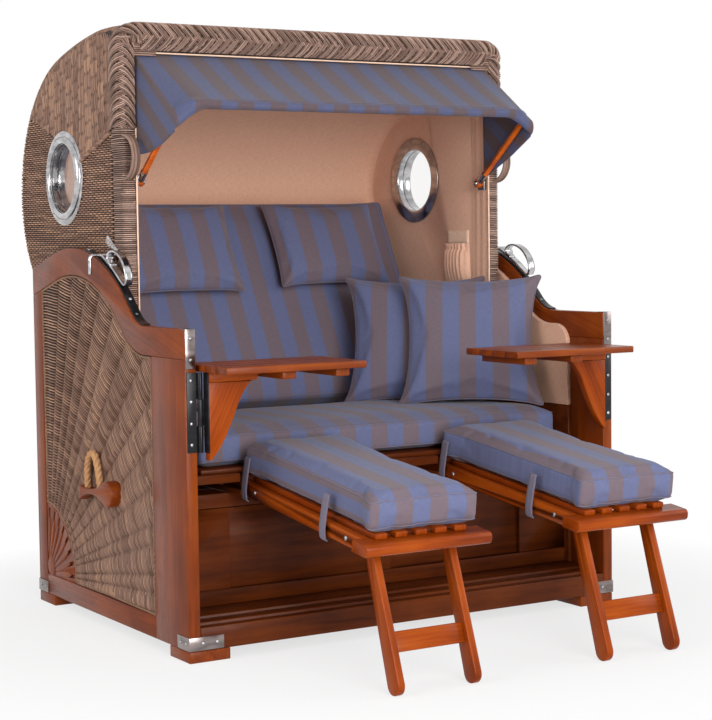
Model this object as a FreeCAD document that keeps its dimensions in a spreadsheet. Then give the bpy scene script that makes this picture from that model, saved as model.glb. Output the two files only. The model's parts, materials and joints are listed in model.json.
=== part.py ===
"""Hooded two-seat beach chair with a tilting wicker hood, swing tables and pull-out footrests.

Millimetres, +Z up, +Y to the back. The origin lies on the floor under the middle of the whole chair.
Heights are measured from the floor, and depths from the front face of the two front posts.
"""
import FreeCAD
import Part
import Sketcher
import math
import os
import re
from types import SimpleNamespace

Vector = FreeCAD.Vector

SIZES = [
    # Side frames
    ("half_width", 690, "middle of the chair to the outer face of a side frame"),
    ("side_thick", 32, "thickness of a side frame"),
    ("base_depth", 1020, "front to back of a side frame"),
    ("foot_height", 30, "height of a corner foot"),
    ("foot_size", 117, "width of a corner foot"),
    ("sill_height", 60, "height of the bottom rails"),
    ("post_width", 200, "width of the front post"),
    ("rear_post_width", 65, "width of the rear post"),
    ("arm_height", 855, "top of the armrest"),
    ("rail_width", 76, "width of the curved top rail"),
    ("arm_curve", 130, "radius of the hollow behind the armrest"),
    ("pivot_y", 720, "depth of the hood's pivot"),
    ("pivot_height", 520, "height of the hood's pivot"),
    ("arch_radius", 541, "radius of the arch, struck from the hood's pivot"),
    ("arch_end", 860, "depth where the arch runs out into a straight tail"),
    ("weave_thick", 14, "thickness of the wicker panel"),
    ("weave_recess", 6, "step from the frame to the wicker"),
    ("crease_depth", 5.5, "depth of the creases between the wicker's rays"),
    ("crease_spread", 1.5, "half of a crease's angle, seen from the carved corner"),
    ("sun_radius", 215, "radius of the carved quarter sun"),
    ("sun_thick", 22, "thickness of the quarter sun"),
    ("ray_depth", 4, "depth of the grooves between the rays"),
    ("ray_count", 8, "number of grooves"),
    ("cleat_y", 444, "depth of the rope cleat's head"),
    ("cleat_height", 388, "height of the rope cleat's head"),
    ("cleat_length", 190, "head to tail of the rope cleat"),
    ("cleat_head", 36, "radius of the rope cleat's head"),
    ("cleat_thick", 36, "how far the rope cleat stands out"),
    ("rope_radius", 10, "radius of the rope"),
    ("cheek_thick", 15, "thickness of the padded cheek"),
    ("cheek_drop", 38, "armrest to the top of the cheek"),
    ("cheek_gap", 5, "pivot plate to the cheek's lower edge"),
    ("cheek_front", 150, "depth of the cheek's front edge"),
    ("cheek_corner", 60, "radius of the cheek's front corner"),
    ("inner_board_thick", 12, "thickness of the board under the cheek"),
    ("iron_thick", 2, "thickness of the corner irons"),
    ("iron_height", 35, "height of the corner irons"),
    ("iron_side", 70, "length of a corner iron along the side"),
    ("iron_front", 100, "length of a corner iron along the front"),
    ("cap_height", 100, "height of the cap strip on a front post"),
    ("strip_thick", 4, "thickness of the latch strip"),
    ("strip_width", 24, "width of the latch strip"),
    ("strip_end", 640, "depth of the latch strip's upper end"),
    # Front, seat and back of the base
    ("plinth_thick", 30, "thickness of the front rail"),
    ("plinth_step", 7, "height of each step of the plinth"),
    ("plinth_tread", 45, "depth of the first step of the plinth"),
    ("panel_y", 172, "depth of the panelled front"),
    ("panel_thick", 22, "thickness of the panelled front"),
    ("field_half", 480, "middle to the outer edge of a field"),
    ("field_low", 145, "lower edge of the fields"),
    ("field_high", 367, "upper edge of the fields"),
    ("panel_top", 405, "top of the panelled front"),
    ("muntin", 60, "width of the middle upright"),
    ("field_thick", 10, "thickness of a field"),
    ("seat_height", 466, "underside of the seat board"),
    ("seat_rail", 24, "height of the seat rails"),
    ("seat_rail_width", 40, "width of the seat rails"),
    ("bearer_height", 20, "height of the bar under the runners' rear ends"),
    ("seat_front", 118, "depth of the seat board's front edge"),
    ("block_front", 100, "depth of the blocks beside the footrests"),
    ("seat_rear", 740, "depth of the seat board's rear edge"),
    ("seat_half", 590, "middle to the side of the seat board"),
    ("board_thick", 12, "thickness of the seat and back boards"),
    ("seat_cushion_front", 135, "depth of the seat cushion's front"),
    ("seat_cushion_depth", 568, "front to back of the seat cushion"),
    ("seat_cushion_width", 1172, "width of the seat cushion"),
    ("seat_cushion_thick", 92, "thickness of the seat cushion's sides"),
    ("cushion_crown", 14, "how far the seat and back cushions swell in the middle"),
    ("rear_panel_height", 470, "top of the rear panel"),
    ("runner_width", 12, "width of a footrest runner"),
    ("runner_height", 14, "height of a footrest runner"),
    ("runner_gap", 1, "clearance between a footrest and its runners"),
    ("runner_end", 420, "depth of the runners' rear ends"),
    # Hood
    ("hood_half", 631, "middle to the outer face of the hood"),
    ("hood_wall", 30, "thickness of the wicker wall"),
    ("hood_front", 475, "depth of the hood's front edge"),
    ("rim_depth", 65, "depth of the bound rim"),
    ("rim_proud", 3, "half of how far the rim stands in past the wall"),
    ("hood_foot", 600, "lower edge of the hood's wicker"),
    ("hood_reach", 1210, "depth of the hood's rearmost point"),
    ("bulge_height", 1245, "height of the rearmost point"),
    ("bulge_radius", 150, "radius of the rear bulge"),
    ("corner_radius", 339, "radius of the upper rear corner"),
    ("crown_radius", 1800, "radius of the hood's top"),
    ("bulge_angle", 12.8, "direction where the bulge meets the corner"),
    ("crown_angle", 65, "direction where the corner meets the top"),
    ("back_slope", 28, "lean of the back from upright"),
    ("edge_radius", 60, "rounding between the hood's sides and top"),
    ("lining_thick", 4, "thickness of the lining"),
    ("braid_foot", 1390, "lower end of the braid on the sides"),
    ("braid_low", 1600, "lower edge of the braid across the top"),
    ("braid_top", 1678, "top of the braid"),
    ("braid_proud", 6, "how far the braid stands out past the wall"),
    ("braid_corner", 6, "rounding of the braid's inner corners"),
    ("braid_round", 14, "rounding of the braid's front edges"),
    ("binding_round", 12, "rounding of the bindings' front edges"),
    ("ear_radius", 45, "radius of the ear round the pivot"),
    ("ear_front", 640, "depth of the ear's front edge"),
    ("bolt_radius", 10, "radius of the pivot bolt"),
    ("bolt_head", 18, "radius of the pivot bolt's head"),
    ("pivot_plate", 9, "thickness of the pivot plate"),
    ("pivot_plate_size", 100, "width of the pivot plate"),
    ("back_width", 1132, "width of the back board and cushion"),
    ("back_top", 1143, "upper rear edge of the back cushion"),
    ("back_low", 545, "lower rear edge of the back cushion"),
    ("back_cushion_thick", 92, "thickness of the back cushion's sides"),
    ("headrest_width", 352, "width of a headrest pillow"),
    ("headrest_length", 290, "height of a headrest pillow"),
    ("headrest_thick", 78, "thickness of a headrest pillow"),
    ("headrest_height", 1060, "height of a headrest's middle"),
    ("headrest_x", 289, "middle of the chair to the middle of a headrest"),
    ("pillow_size", 410, "width and height of a loose pillow"),
    ("pillow_thick", 118, "thickness of a loose pillow"),
    ("pillow_turn", -35, "turn of the loose pillows about the upright"),
    ("pillow_lean", 21, "lean of the loose pillows"),
    ("pillow_x", 446, "middle of the chair to the middle of the front pillow"),
    ("pillow_y", 372, "depth of the front pillow's middle"),
    ("pillow_apart", 116, "how far the rear pillow stands behind the front one"),
    ("pillow_shift", 160, "how far the rear pillow stands to the side of the front one"),
    ("porthole_y", 890, "depth of the porthole"),
    ("porthole_height", 1265, "height of the porthole"),
    ("porthole_bore", 100, "clear radius of the porthole"),
    ("spigot_thick", 7, "wall of the porthole's sleeve"),
    ("flange_radius", 138, "outer radius of the porthole's flange"),
    ("flange_thick", 6, "thickness of the porthole's flange"),
    ("pane_thick", 3, "thickness of the porthole's pane"),
    ("pocket_y", 590, "depth of the wall pocket's front"),
    ("pocket_width", 130, "width of the wall pocket"),
    ("pocket_low", 925, "bottom of the wall pocket"),
    ("pocket_high", 1060, "mouth of the wall pocket"),
    ("pocket_bulge", 42, "how far the wall pocket stands out"),
    ("pocket_cloth", 3, "thickness of the wall pocket's cloth"),
    ("grab_height", 1309, "height of the grab loops"),
    ("grab_radius", 62, "radius of the grab loops"),
    ("grab_rod", 8, "radius of the grab loops' rod"),
    # Awning
    ("bow_pivot_y", 500, "depth of the awning bow's pivots"),
    ("bow_pivot_height", 1243, "height of the awning bow's pivots"),
    ("bow_half", 574, "middle to the awning bow's arms"),
    ("bow_length", 326, "pivot to front of the awning bow"),
    ("bow_rise", 37.4, "rise of the open awning bow"),
    ("bow_rod", 9, "radius of the awning bow"),
    ("bow_corner", 48, "radius of the awning bow's corners"),
    ("bow_eye", 13, "radius of the awning bow's eyes"),
    ("bow_pin", 5, "radius of the awning bow's pins"),
    ("bow_block_depth", 32, "depth of the awning bow's brackets"),
    ("bow_block_height", 40, "height of the awning bow's brackets"),
    ("cloth_thick", 3, "thickness of the awning cloth"),
    ("hem_drop", 10, "how far the awning's hem hangs below the bow"),
    ("wing_low", 1325, "lower rear corner of the awning's wings"),
    # Hood latches
    ("rod_back", 242, "latch rod behind the start of the arch, along the arch"),
    ("rod_lift", 16, "latch rod above the arch"),
    ("strap_length", 85, "latch rod to the far end of its strap"),
    ("strap_tail", 16, "latch rod to the near end of its strap"),
    ("strap_half", 14, "half width of the latch strap"),
    ("rod_radius", 5, "radius of the latch rod"),
    ("strap_slope", 33, "slope of the latch strap"),
    ("rod_length", 69, "straight length of the latch rod"),
    ("rod_tail", 40, "length of the latch rod's bent tail"),
    ("lever_low", 8, "step from the arch to the underside of the lever"),
    ("lever_high", 62, "height of the lever's bow"),
    ("lever_bar", 6, "thickness of the lever's bar"),
    ("lever_width", 26, "width of the lever"),
    ("lever_start", 5, "turn about the hood's pivot from the rod to the lever's bow"),
    ("lever_end", 18, "turn about the hood's pivot from the rod to the lever's tip"),
    # Swing tables
    ("table_length", 407, "length of a table"),
    ("table_front", 150, "how far a table stands in front of the posts"),
    ("table_rear", 95, "how far a table reaches behind the posts' front"),
    ("table_drop", 90, "armrest to the top of a table"),
    ("plank_count", 4, "number of table planks"),
    ("plank_thick", 18, "thickness of the table planks"),
    ("plank_gap", 0.8, "joint between table planks"),
    ("table_gap", 10, "gap between a table and its post"),
    ("batten_width", 40, "width of a table batten"),
    ("batten_height", 20, "height of a table batten"),
    ("gusset_length", 160, "length of a table gusset"),
    ("gusset_height", 225, "height of a table gusset"),
    ("gusset_thick", 26, "thickness of a table gusset"),
    ("gusset_lip", 12, "height of a table gusset's outer end"),
    ("gusset_toe", 20, "width of a table gusset's lower end"),
    ("hinge_in", 6, "table hinge axis inside the post"),
    ("hinge_out", 9, "table hinge axis in front of the post"),
    ("hinge_gap", 9, "cap strip to the table hinge"),
    ("hinge_tall", 204, "height of the table hinge"),
    ("knuckle_radius", 6.5, "radius of the hinge knuckles"),
    ("hinge_pin", 4, "radius of the hinge pin"),
    ("leaf_thick", 3, "thickness of the hinge leaves"),
    ("leaf_step", 2, "step from the knuckles to the leaf on the post"),
    # Footrests
    ("footrest_x", 314.5, "middle of the chair to the middle of a footrest"),
    ("footrest_half", 155, "half width of a footrest"),
    ("footrest_front", 505, "how far a footrest's rails reach in front of the posts"),
    ("footrest_low", 330, "underside of a footrest's rails at the front"),
    ("footrest_length", 760, "length of a footrest's rails"),
    ("footrest_slope", 7, "slope of a footrest"),
    ("foot_rail_thick", 24, "thickness of a footrest's rails"),
    ("foot_rail_height", 36, "height of a footrest's rails"),
    ("slat_count", 5, "number of slats of a footrest"),
    ("slat_thick", 14, "thickness of a footrest slat"),
    ("slat_width", 34, "width of a footrest slat"),
    ("slat_length", 612, "length of a footrest slat"),
    ("bar_width", 25, "width and height of a footrest's cross bars"),
    ("nose_half", 180.5, "half width of the nose board"),
    ("nose_depth", 70, "depth of the nose board"),
    ("nose_lap", 27, "how far the nose board laps over the rails"),
    ("nose_thick", 30, "thickness of the nose board"),
    ("nose_round", 12, "rounding of the nose board's front"),
    ("foot_cushion_length", 640, "length of a foot cushion"),
    ("foot_cushion_thick", 92, "thickness of a foot cushion's sides"),
    ("foot_crown", 10, "how far a foot cushion swells in the middle"),
    ("foot_cushion_start", -12, "front of a foot cushion along the rails"),
    ("leg_hole", 56, "leg pivot along the rails"),
    ("leg_hole_up", 17.5, "leg pivot above the rails' underside"),
    ("leg_splay", 18.5, "forward lean of the legs"),
    ("leg_thick", 20, "thickness of a leg"),
    ("leg_outer", 120.5, "middle of a footrest to the outer face of a leg"),
    ("leg_top", 17, "radius of a leg's upper end"),
    ("leg_toe", 25, "radius of a leg's toe"),
    ("leg_bolt", 5, "radius of the leg bolts"),
    ("rung_height", 50, "height of a rung"),
    ("rung_thick", 18, "thickness of a rung"),
    ("rung_up", 75, "toe to the rung along a leg"),
    # Clearances
    ("soft_gap", 0.3, "gap between seated soft or curved pieces"),
    ("run_gap", 0.05, "radial clearance of a turning fit"),
]

doc = FreeCAD.newDocument("hooded_beach_chair")
sheet = doc.addObject("Spreadsheet::Sheet", "Sizes")


def put_size(row, alias, value, note):
    """Write one driving size to the sheet."""
    sheet.set(f"A{row}", note)
    sheet.set(f"B{row}", str(value))
    sheet.setAlias(f"B{row}", alias)


for number, entry in enumerate(SIZES, start=1):
    put_size(number, *entry)
doc.recompute()
d = SimpleNamespace(**{alias: float(sheet.get(alias)) for alias, value, note in SIZES})


def leg_pivot():
    """Depth and height of the leg pivots."""
    slope = math.radians(d.footrest_slope)
    depth = -d.footrest_front + d.leg_hole * math.cos(slope) - d.leg_hole_up * math.sin(slope)
    height = d.footrest_low + d.leg_hole * math.sin(slope) + d.leg_hole_up * math.cos(slope)
    return depth, height


def toe_centre():
    """Depth and height of the middle of a toe, which stands on the floor."""
    depth, height = leg_pivot()
    return depth - (height - d.leg_toe) * math.tan(math.radians(d.leg_splay)), d.leg_toe


def polar(centre, radius, angle):
    """A point at a distance and a direction in degrees."""
    turn = math.radians(angle)
    return centre[0] + radius * math.cos(turn), centre[1] + radius * math.sin(turn)


def arch_lean():
    """Direction in degrees from the hollow's centre down to the hood's pivot."""
    rise = d.arm_height + d.arm_curve - d.pivot_height
    return math.degrees(math.asin(rise / (d.arch_radius + d.arm_curve)))


def hollow_centre():
    """Depth and height of the centre of the hollow behind the armrest."""
    reach = (d.arch_radius + d.arm_curve) * math.cos(math.radians(arch_lean()))
    return d.pivot_y - reach, d.arm_height + d.arm_curve


d.front_y = (d.leg_toe - toe_centre()[0] - d.hood_reach) / 2
rod_angle = 180 - arch_lean() - math.degrees(d.rod_back / d.arch_radius)
d.rod_y, d.rod_height = polar((d.pivot_y, d.pivot_height), d.arch_radius + d.rod_lift, rod_angle)
d.cheek_low = d.pivot_height + d.pivot_plate_size / 2 + d.cheek_gap
d.table_height = d.arm_height - d.table_drop
d.hinge_low = d.arm_height - d.cap_height - d.hinge_gap - d.hinge_tall
DERIVED = [
    ("front_y", "front face of the posts in the model's frame"),
    ("rod_y", "depth of the latch rod"),
    ("rod_height", "height of the latch rod"),
    ("cheek_low", "lower edge of the cheek and top of the board below it"),
    ("table_height", "top of a table"),
    ("hinge_low", "lower end of the table hinge"),
]
for number, (alias, note) in enumerate(DERIVED, start=len(SIZES) + 1):
    put_size(number, alias, round(getattr(d, alias), 4), note)
doc.recompute()
ALIAS = re.compile(r"\b(" + "|".join(vars(d)) + r")\b")
nodes = []


def keep(piece):
    """List a finished sub-part for export."""
    nodes.append(piece)
    return piece


def bind(piece, prop, rule):
    """Tie a property to the sheet by a rule written with plain size names."""
    piece.setExpression(prop, ALIAS.sub(r"Sizes.\1", rule))


def place(piece, x="0", y="0", z="0", origin="front_y"):
    """Tie a piece's place to the sheet, with depths counted from the posts."""
    for axis, rule in (("x", x), ("y", f"{origin} + {y}"), ("z", z)):
        bind(piece, f"Placement.Base.{axis}", rule)


def box(label, x, y, z, along_x, along_y, along_z, origin="front_y"):
    """A block from its lowest corner and three lengths."""
    block = doc.addObject("Part::Box", label)
    for prop, rule in (("Length", along_x), ("Width", along_y), ("Height", along_z)):
        bind(block, prop, rule)
    place(block, x, y, z, origin)
    return block


def rod(label, x, y, z, radius, length, axis=Vector(0, 0, 1), origin="front_y"):
    """A round bar from the middle of its first end."""
    bar = doc.addObject("Part::Cylinder", label)
    bar.Placement.Rotation = FreeCAD.Rotation(Vector(0, 0, 1), axis)
    bind(bar, "Radius", radius)
    bind(bar, "Height", length)
    place(bar, x, y, z, origin)
    return bar


def fuse(label, *pieces):
    """One solid made of several pieces."""
    whole = doc.addObject("Part::MultiFuse", label)
    whole.Shapes = list(pieces)
    whole.Refine = True
    return whole


def cut(label, base, tool):
    """A piece with another taken away."""
    rest = doc.addObject("Part::Cut", label)
    rest.Base = base
    rest.Tool = tool
    return rest


def mirror(label, piece):
    """The same piece on the other side of the chair."""
    copy = doc.addObject("Part::Mirroring", label)
    copy.Source = piece
    copy.Normal = Vector(1, 0, 0)
    return copy


def group(label, pieces):
    """Several separate pieces that share a node."""
    several = doc.addObject("Part::Compound", label)
    several.Links = list(pieces)
    return several


def pair(label, piece):
    """A right piece and its left twin in one node."""
    return keep(group(label, [piece, mirror(f"{piece.Name}_left", piece)]))


def both(label, piece):
    """A right piece and its left twin, each a node."""
    keep(piece)
    return keep(mirror(f"left_{label}", piece))


def line(start, end):
    """A straight sketch edge."""
    return Part.LineSegment(Vector(*start, 0), Vector(*end, 0))


def arc(centre, radius, low, high):
    """A round sketch edge between two directions in degrees."""
    circle = Part.Circle(Vector(*centre, 0), Vector(0, 0, 1), radius)
    return Part.ArcOfCircle(circle, math.radians(low), math.radians(high))


def bend(start, middle, end):
    """A round sketch edge through three points, drawn the way the sketcher turns."""
    turn = (middle[0] - start[0]) * (end[1] - start[1]) - (middle[1] - start[1]) * (end[0] - start[0])
    if turn < 0:
        start, end = end, start
    return Part.Arc(Vector(*start, 0), Vector(*middle, 0), Vector(*end, 0))


def outline(points):
    """Straight edges round a list of corners."""
    return [line(p, q) for p, q in zip(points, points[1:] + points[:1])]


def join_ends(sketch):
    """Tie the edges' meeting ends together."""
    ends = []
    for index, edge in enumerate(sketch.Geometry):
        ends.append((index, 1, edge.StartPoint))
        ends.append((index, 2, edge.EndPoint))
    for order, (index, spot, point) in enumerate(ends):
        for other, other_spot, other_point in ends[order + 1:]:
            if other != index and point.distanceToPoint(other_point) < 1e-6:
                sketch.addConstraint(Sketcher.Constraint("Coincident", index, spot, other, other_spot))


def add_sketch(body, label, edges, plane="YZ_Plane", lift=0.0):
    """A closed sketch on one of the body's own planes."""
    sketch = body.newObject("Sketcher::SketchObject", label)
    support = next(part for part in body.Origin.OriginFeatures if part.Role == plane)
    sketch.AttachmentSupport = [(support, "")]
    sketch.MapMode = "FlatFace"
    sketch.AttachmentOffset = FreeCAD.Placement(Vector(0, 0, lift), FreeCAD.Rotation())
    sketch.addGeometry(edges, False)
    join_ends(sketch)
    return sketch


def plate(label, edges, thick, x="0", y="0", z="0", plane="YZ_Plane"):
    """A flat piece cut to an outline."""
    body = doc.addObject("PartDesign::Body", label)
    sketch = add_sketch(body, f"{label}_outline", edges, plane)
    pad = body.newObject("PartDesign::Pad", f"{label}_pad")
    pad.Profile = sketch
    bind(pad, "Length", thick)
    place(body, x, y, z)
    return body


def turned(label, points, x, y, z):
    """A piece turned about a line along X."""
    body = doc.addObject("PartDesign::Body", label)
    sketch = add_sketch(body, f"{label}_section", outline(points), "XZ_Plane")
    spin = body.newObject("PartDesign::Revolution", f"{label}_turn")
    spin.Profile = sketch
    spin.ReferenceAxis = (sketch, ["H_Axis"])
    spin.Angle = 360
    place(body, x, y, z)
    return body


def shaped(label, shape, placement=None):
    """A piece whose form comes from a loft, a sweep or a rounded block."""
    piece = doc.addObject("Part::Feature", label)
    piece.Shape = shape
    piece.Placement = placement or FreeCAD.Placement(Vector(0, d.front_y, 0), FreeCAD.Rotation())
    return piece


def loop(points, edges=None):
    """A closed wire from 3-D points, or from given edges."""
    if edges is None:
        edges = [Part.LineSegment(p, q) for p, q in zip(points, points[1:] + points[:1])]
    return Part.Wire([edge.toShape() for edge in edges])


SIDE_X = "half_width - side_thick"
REAR_POST_Y = d.base_depth - d.rear_post_width
SILL_TOP = d.foot_height + d.sill_height


def side_edge(drop, front, rear):
    """The side frame's top line moved down by drop: its edges, rear end and front end."""
    pivot = (d.pivot_y, d.pivot_height)
    knee = hollow_centre()
    lean = arch_lean()
    turn = math.degrees(math.acos((d.arch_end - d.pivot_y) / d.arch_radius))
    crest = polar(pivot, d.arch_radius - drop, turn)
    tail = (rear, crest[1] - (rear - crest[0]) / math.tan(math.radians(turn)))
    flat = (knee[0], d.arm_height - drop)
    start = (front, flat[1])
    arch = arc(pivot, d.arch_radius - drop, turn, 180 - lean)
    hollow = arc(knee, d.arm_curve + drop, -90, -lean)
    return [line(tail, crest), arch, hollow, line(flat, start)], tail, start


def side_frames():
    """Posts, rails, wicker panels and quarter suns of the two sides."""
    post_height = "arm_height - rail_width - foot_height"
    both("front_post", box("right_front_post", SIDE_X, "0", "foot_height",
                           "side_thick", "post_width", post_height))
    upper, tail, start = side_edge(0, 0, d.base_depth)
    lower, low_tail, low_start = side_edge(d.rail_width, 0, d.base_depth)
    rail_edges = upper + lower + [line(tail, low_tail), line(start, low_start)]
    both("top_rail", plate("right_top_rail", rail_edges, "side_thick", SIDE_X))
    infill, infill_tail, infill_start = side_edge(d.rail_width, d.post_width, REAR_POST_Y)
    rear_post = outline([(REAR_POST_Y, d.foot_height), (d.base_depth, d.foot_height), low_tail, infill_tail])
    pair("rear_posts", plate("rear_post", rear_post, "side_thick", SIDE_X))
    pair("bottom_rails", box("bottom_rail", SIDE_X, "post_width", "foot_height", "side_thick",
                             "base_depth - post_width - rear_post_width", "sill_height"))
    corner = (REAR_POST_Y, SILL_TOP)
    sun_top = polar(corner, d.sun_radius, 90)
    sun_front = polar(corner, d.sun_radius, 180)
    front_low = (d.post_width, SILL_TOP)
    weave_edges = infill + [line(infill_tail, sun_top), arc(corner, d.sun_radius, 90, 180),
                            line(sun_front, front_low), line(front_low, infill_start)]
    weave_x = "half_width - weave_recess - weave_thick"
    board = plate("weave_board", weave_edges, "weave_thick", weave_x)
    both("wicker_panel", cut("right_wicker_panel", board, ray_creases(corner)))
    pair("sun_corners", quarter_sun())


# Angles of the wicker's stakes above the bottom rail, seen from the carved corner
RAY_STAKES = [4.7, 8.4, 14.4, 18.3, 25, 31.5, 38, 44.5, 51, 57.5, 64, 70, 76, 82]


def ray_creases(corner):
    """Creases along the stakes, which fan out from the carved corner and leave raised rays between them."""
    face = d.half_width - d.weave_recess
    far = math.hypot(REAR_POST_Y - d.post_width, d.arm_height)
    creases = []
    for stake in RAY_STAKES:
        ends = []
        for radius, depth in ((0.9 * d.sun_radius, d.crease_depth / 2), (far, d.crease_depth)):
            sides = [polar(corner, radius, 180 - stake + turn) for turn in (d.crease_spread, -d.crease_spread)]
            root = polar(corner, radius, 180 - stake)
            ends.append(loop([Vector(face + 1, *sides[0]), Vector(face - depth, *root),
                              Vector(face + 1, *sides[1])]))
        creases.append(Part.makeLoft(ends, True, True))
    return shaped("ray_creases", Part.makeCompound(creases))


def quarter_sun():
    """A quarter disc with grooves that leave raised rays."""
    start = 180 / math.pi * math.atan2(0.25, d.ray_count)
    step = 90 / d.ray_count
    rim = d.sun_radius * 0.94
    hub = d.sun_radius * 0.16
    edges = [line((0, 0), (0, d.sun_radius)), arc((0, 0), d.sun_radius, 90, 180),
             line((-d.sun_radius, 0), (0, 0))]
    body = plate("sun_corner", edges, "sun_thick", "half_width - weave_recess / 2 - sun_thick",
                 "base_depth - rear_post_width", "foot_height + sill_height")
    first = 90 + step / 2
    groove = outline([polar((0, 0), hub, first), polar((0, 0), rim, first + start),
                      polar((0, 0), rim, first - start)])
    sketch = add_sketch(body, "sun_groove", groove, lift=d.sun_thick)
    pocket = body.newObject("PartDesign::Pocket", "sun_pocket")
    pocket.Profile = sketch
    bind(pocket, "Length", "ray_depth")
    doc.recompute()
    rays = body.newObject("PartDesign::PolarPattern", "sun_rays")
    rays.Originals = [pocket]
    rays.Axis = (sketch, ["N_Axis"])
    rays.Angle = 90 - step
    rays.Occurrences = int(d.ray_count)
    body.Tip = rays
    return body


def rope_cleats():
    """Wooden cleats that the carrying ropes come out of."""
    head = (d.cleat_y, d.cleat_height)
    size = d.cleat_head
    tail_low = (d.cleat_y + d.cleat_length, d.cleat_height - size)
    tail_top = (d.cleat_y + d.cleat_length, d.cleat_height + size * 0.2)
    neck = polar(head, size, 60)
    chin = polar(head, size, -60)
    middle_y = d.cleat_y + d.cleat_length * 0.55
    edges = [line(tail_low, tail_top),
             bend(tail_top, (middle_y, d.cleat_height + size * 0.1), neck),
             bend(neck, polar(head, size, 180), chin),
             bend(chin, (middle_y, d.cleat_height - size * 0.3), tail_low)]
    pair("rope_cleats", plate("rope_cleat", edges, "cleat_thick", "half_width - weave_recess"))


ROPE_ROUTE = [(160, -10), (166, 50), (150, 96), (114, 106), (86, 62), (72, -8)]


def tube_path(points):
    """Straight runs joined by tangent arcs as large as the runs allow, with the arcs' radii."""
    edges = []
    radii = []
    last = points[0]
    for before, corner, after in zip(points, points[1:], points[2:]):
        into = (corner - before).normalize()
        out = (after - corner).normalize()
        run = min((corner - before).Length, (after - corner).Length)
        reach = 0.45 * run
        half_turn = into.getAngle(out) / 2
        radius = reach / math.tan(half_turn)
        enter = corner - into * reach
        leave = corner + out * reach
        inward = (out - into).normalize()
        middle = corner + inward * (radius / math.cos(half_turn) - radius)
        edges.append(Part.LineSegment(last, enter))
        edges.append(Part.Arc(enter, middle, leave))
        radii.append(round(radius, 1))
        last = leave
    edges.append(Part.LineSegment(last, points[-1]))
    return Part.Wire([edge.toShape() for edge in edges]), radii


def tube(points, radius, name):
    """A round tube along a route, with its volume compared with its section and length."""
    path, radii = tube_path(points)
    start = points[0]
    ring = Part.Wire([Part.Circle(start, points[1] - start, radius).toShape()])
    solid = path.makePipeShell([ring], True, True)
    share = solid.Volume / (math.pi * radius ** 2 * path.Length)
    print(f"{name}: length {path.Length:.1f}, radii {radii}, volume share {share:.4f}")
    return solid


def rope_loops():
    """Carrying ropes, each a loop with both ends in its cleat."""
    x = d.half_width - d.weave_recess + d.cleat_thick / 2
    route = [Vector(x, d.cleat_y + along, d.cleat_height + up) for along, up in ROPE_ROUTE]
    both("rope_loop", shaped("right_rope_loop", tube(route, d.rope_radius, "rope loop")))


def cheeks():
    """Padded cheeks over the boards that line the side frames."""
    edges, tail, start = side_edge(d.cheek_drop, d.cheek_front + d.cheek_corner, REAR_POST_Y)
    centre = (start[0], start[1] - d.cheek_corner)
    low = d.cheek_low + d.soft_gap
    front_low = (d.cheek_front, low)
    rear_low = (REAR_POST_Y, low)
    edges += [arc(centre, d.cheek_corner, 90, 180), line((d.cheek_front, centre[1]), front_low),
              line(front_low, rear_low), line(rear_low, tail)]
    pair("cheek_pads", plate("cheek_pad", edges, "cheek_thick", f"{SIDE_X} - cheek_thick"))


def latch_strips():
    """Metal strips on the curved rails, struck from the hood's pivot like the rails."""
    pivot = (d.pivot_y, d.pivot_height)
    knee = hollow_centre()
    lean = arch_lean()
    end = math.degrees(math.acos((d.strip_end - d.pivot_y) / d.arch_radius))
    foot = -80
    inner, outer = d.arch_radius, d.arch_radius + d.strip_thick
    hollow, hollow_top = d.arm_curve, d.arm_curve - d.strip_thick
    edges = [arc(pivot, inner, end, 180 - lean), arc(knee, hollow, foot, -lean),
             arc(pivot, outer, end, 180 - lean), arc(knee, hollow_top, foot, -lean),
             line(polar(pivot, inner, end), polar(pivot, outer, end)),
             line(polar(knee, hollow, foot), polar(knee, hollow_top, foot))]
    strip_x = "half_width - side_thick / 2 - strip_width / 2"
    pair("latch_strips", plate("latch_strip", edges, "strip_width", strip_x))


def pivot_hardware():
    """Plates on the lining boards and the bolts that the hood turns on."""
    plate_x = f"{SIDE_X} - inner_board_thick - pivot_plate"
    blank = box("pivot_blank", plate_x, "pivot_y - pivot_plate_size / 2",
                "pivot_height - pivot_plate_size / 2", "pivot_plate", "pivot_plate_size", "pivot_plate_size")
    drill = rod("pivot_drill", plate_x, "pivot_y", "pivot_height", "bolt_radius", "pivot_plate",
                Vector(1, 0, 0))
    wall = cut("pivot_wall", blank, drill)
    shaft_x = "hood_half - hood_wall - soft_gap"
    shaft = rod("pivot_shaft", shaft_x, "pivot_y", "pivot_height", "bolt_radius",
                f"{SIDE_X} - inner_board_thick - ({shaft_x})", Vector(1, 0, 0))
    head = rod("pivot_head", f"{shaft_x} - bolt_head / 2", "pivot_y", "pivot_height", "bolt_head",
               "bolt_head / 2", Vector(1, 0, 0))
    bolt = fuse("pivot_bolt", shaft, head)
    twins = [mirror("pivot_wall_left", wall), mirror("pivot_bolt_left", bolt)]
    keep(group("hood_pivots", [wall, bolt] + twins))


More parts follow.
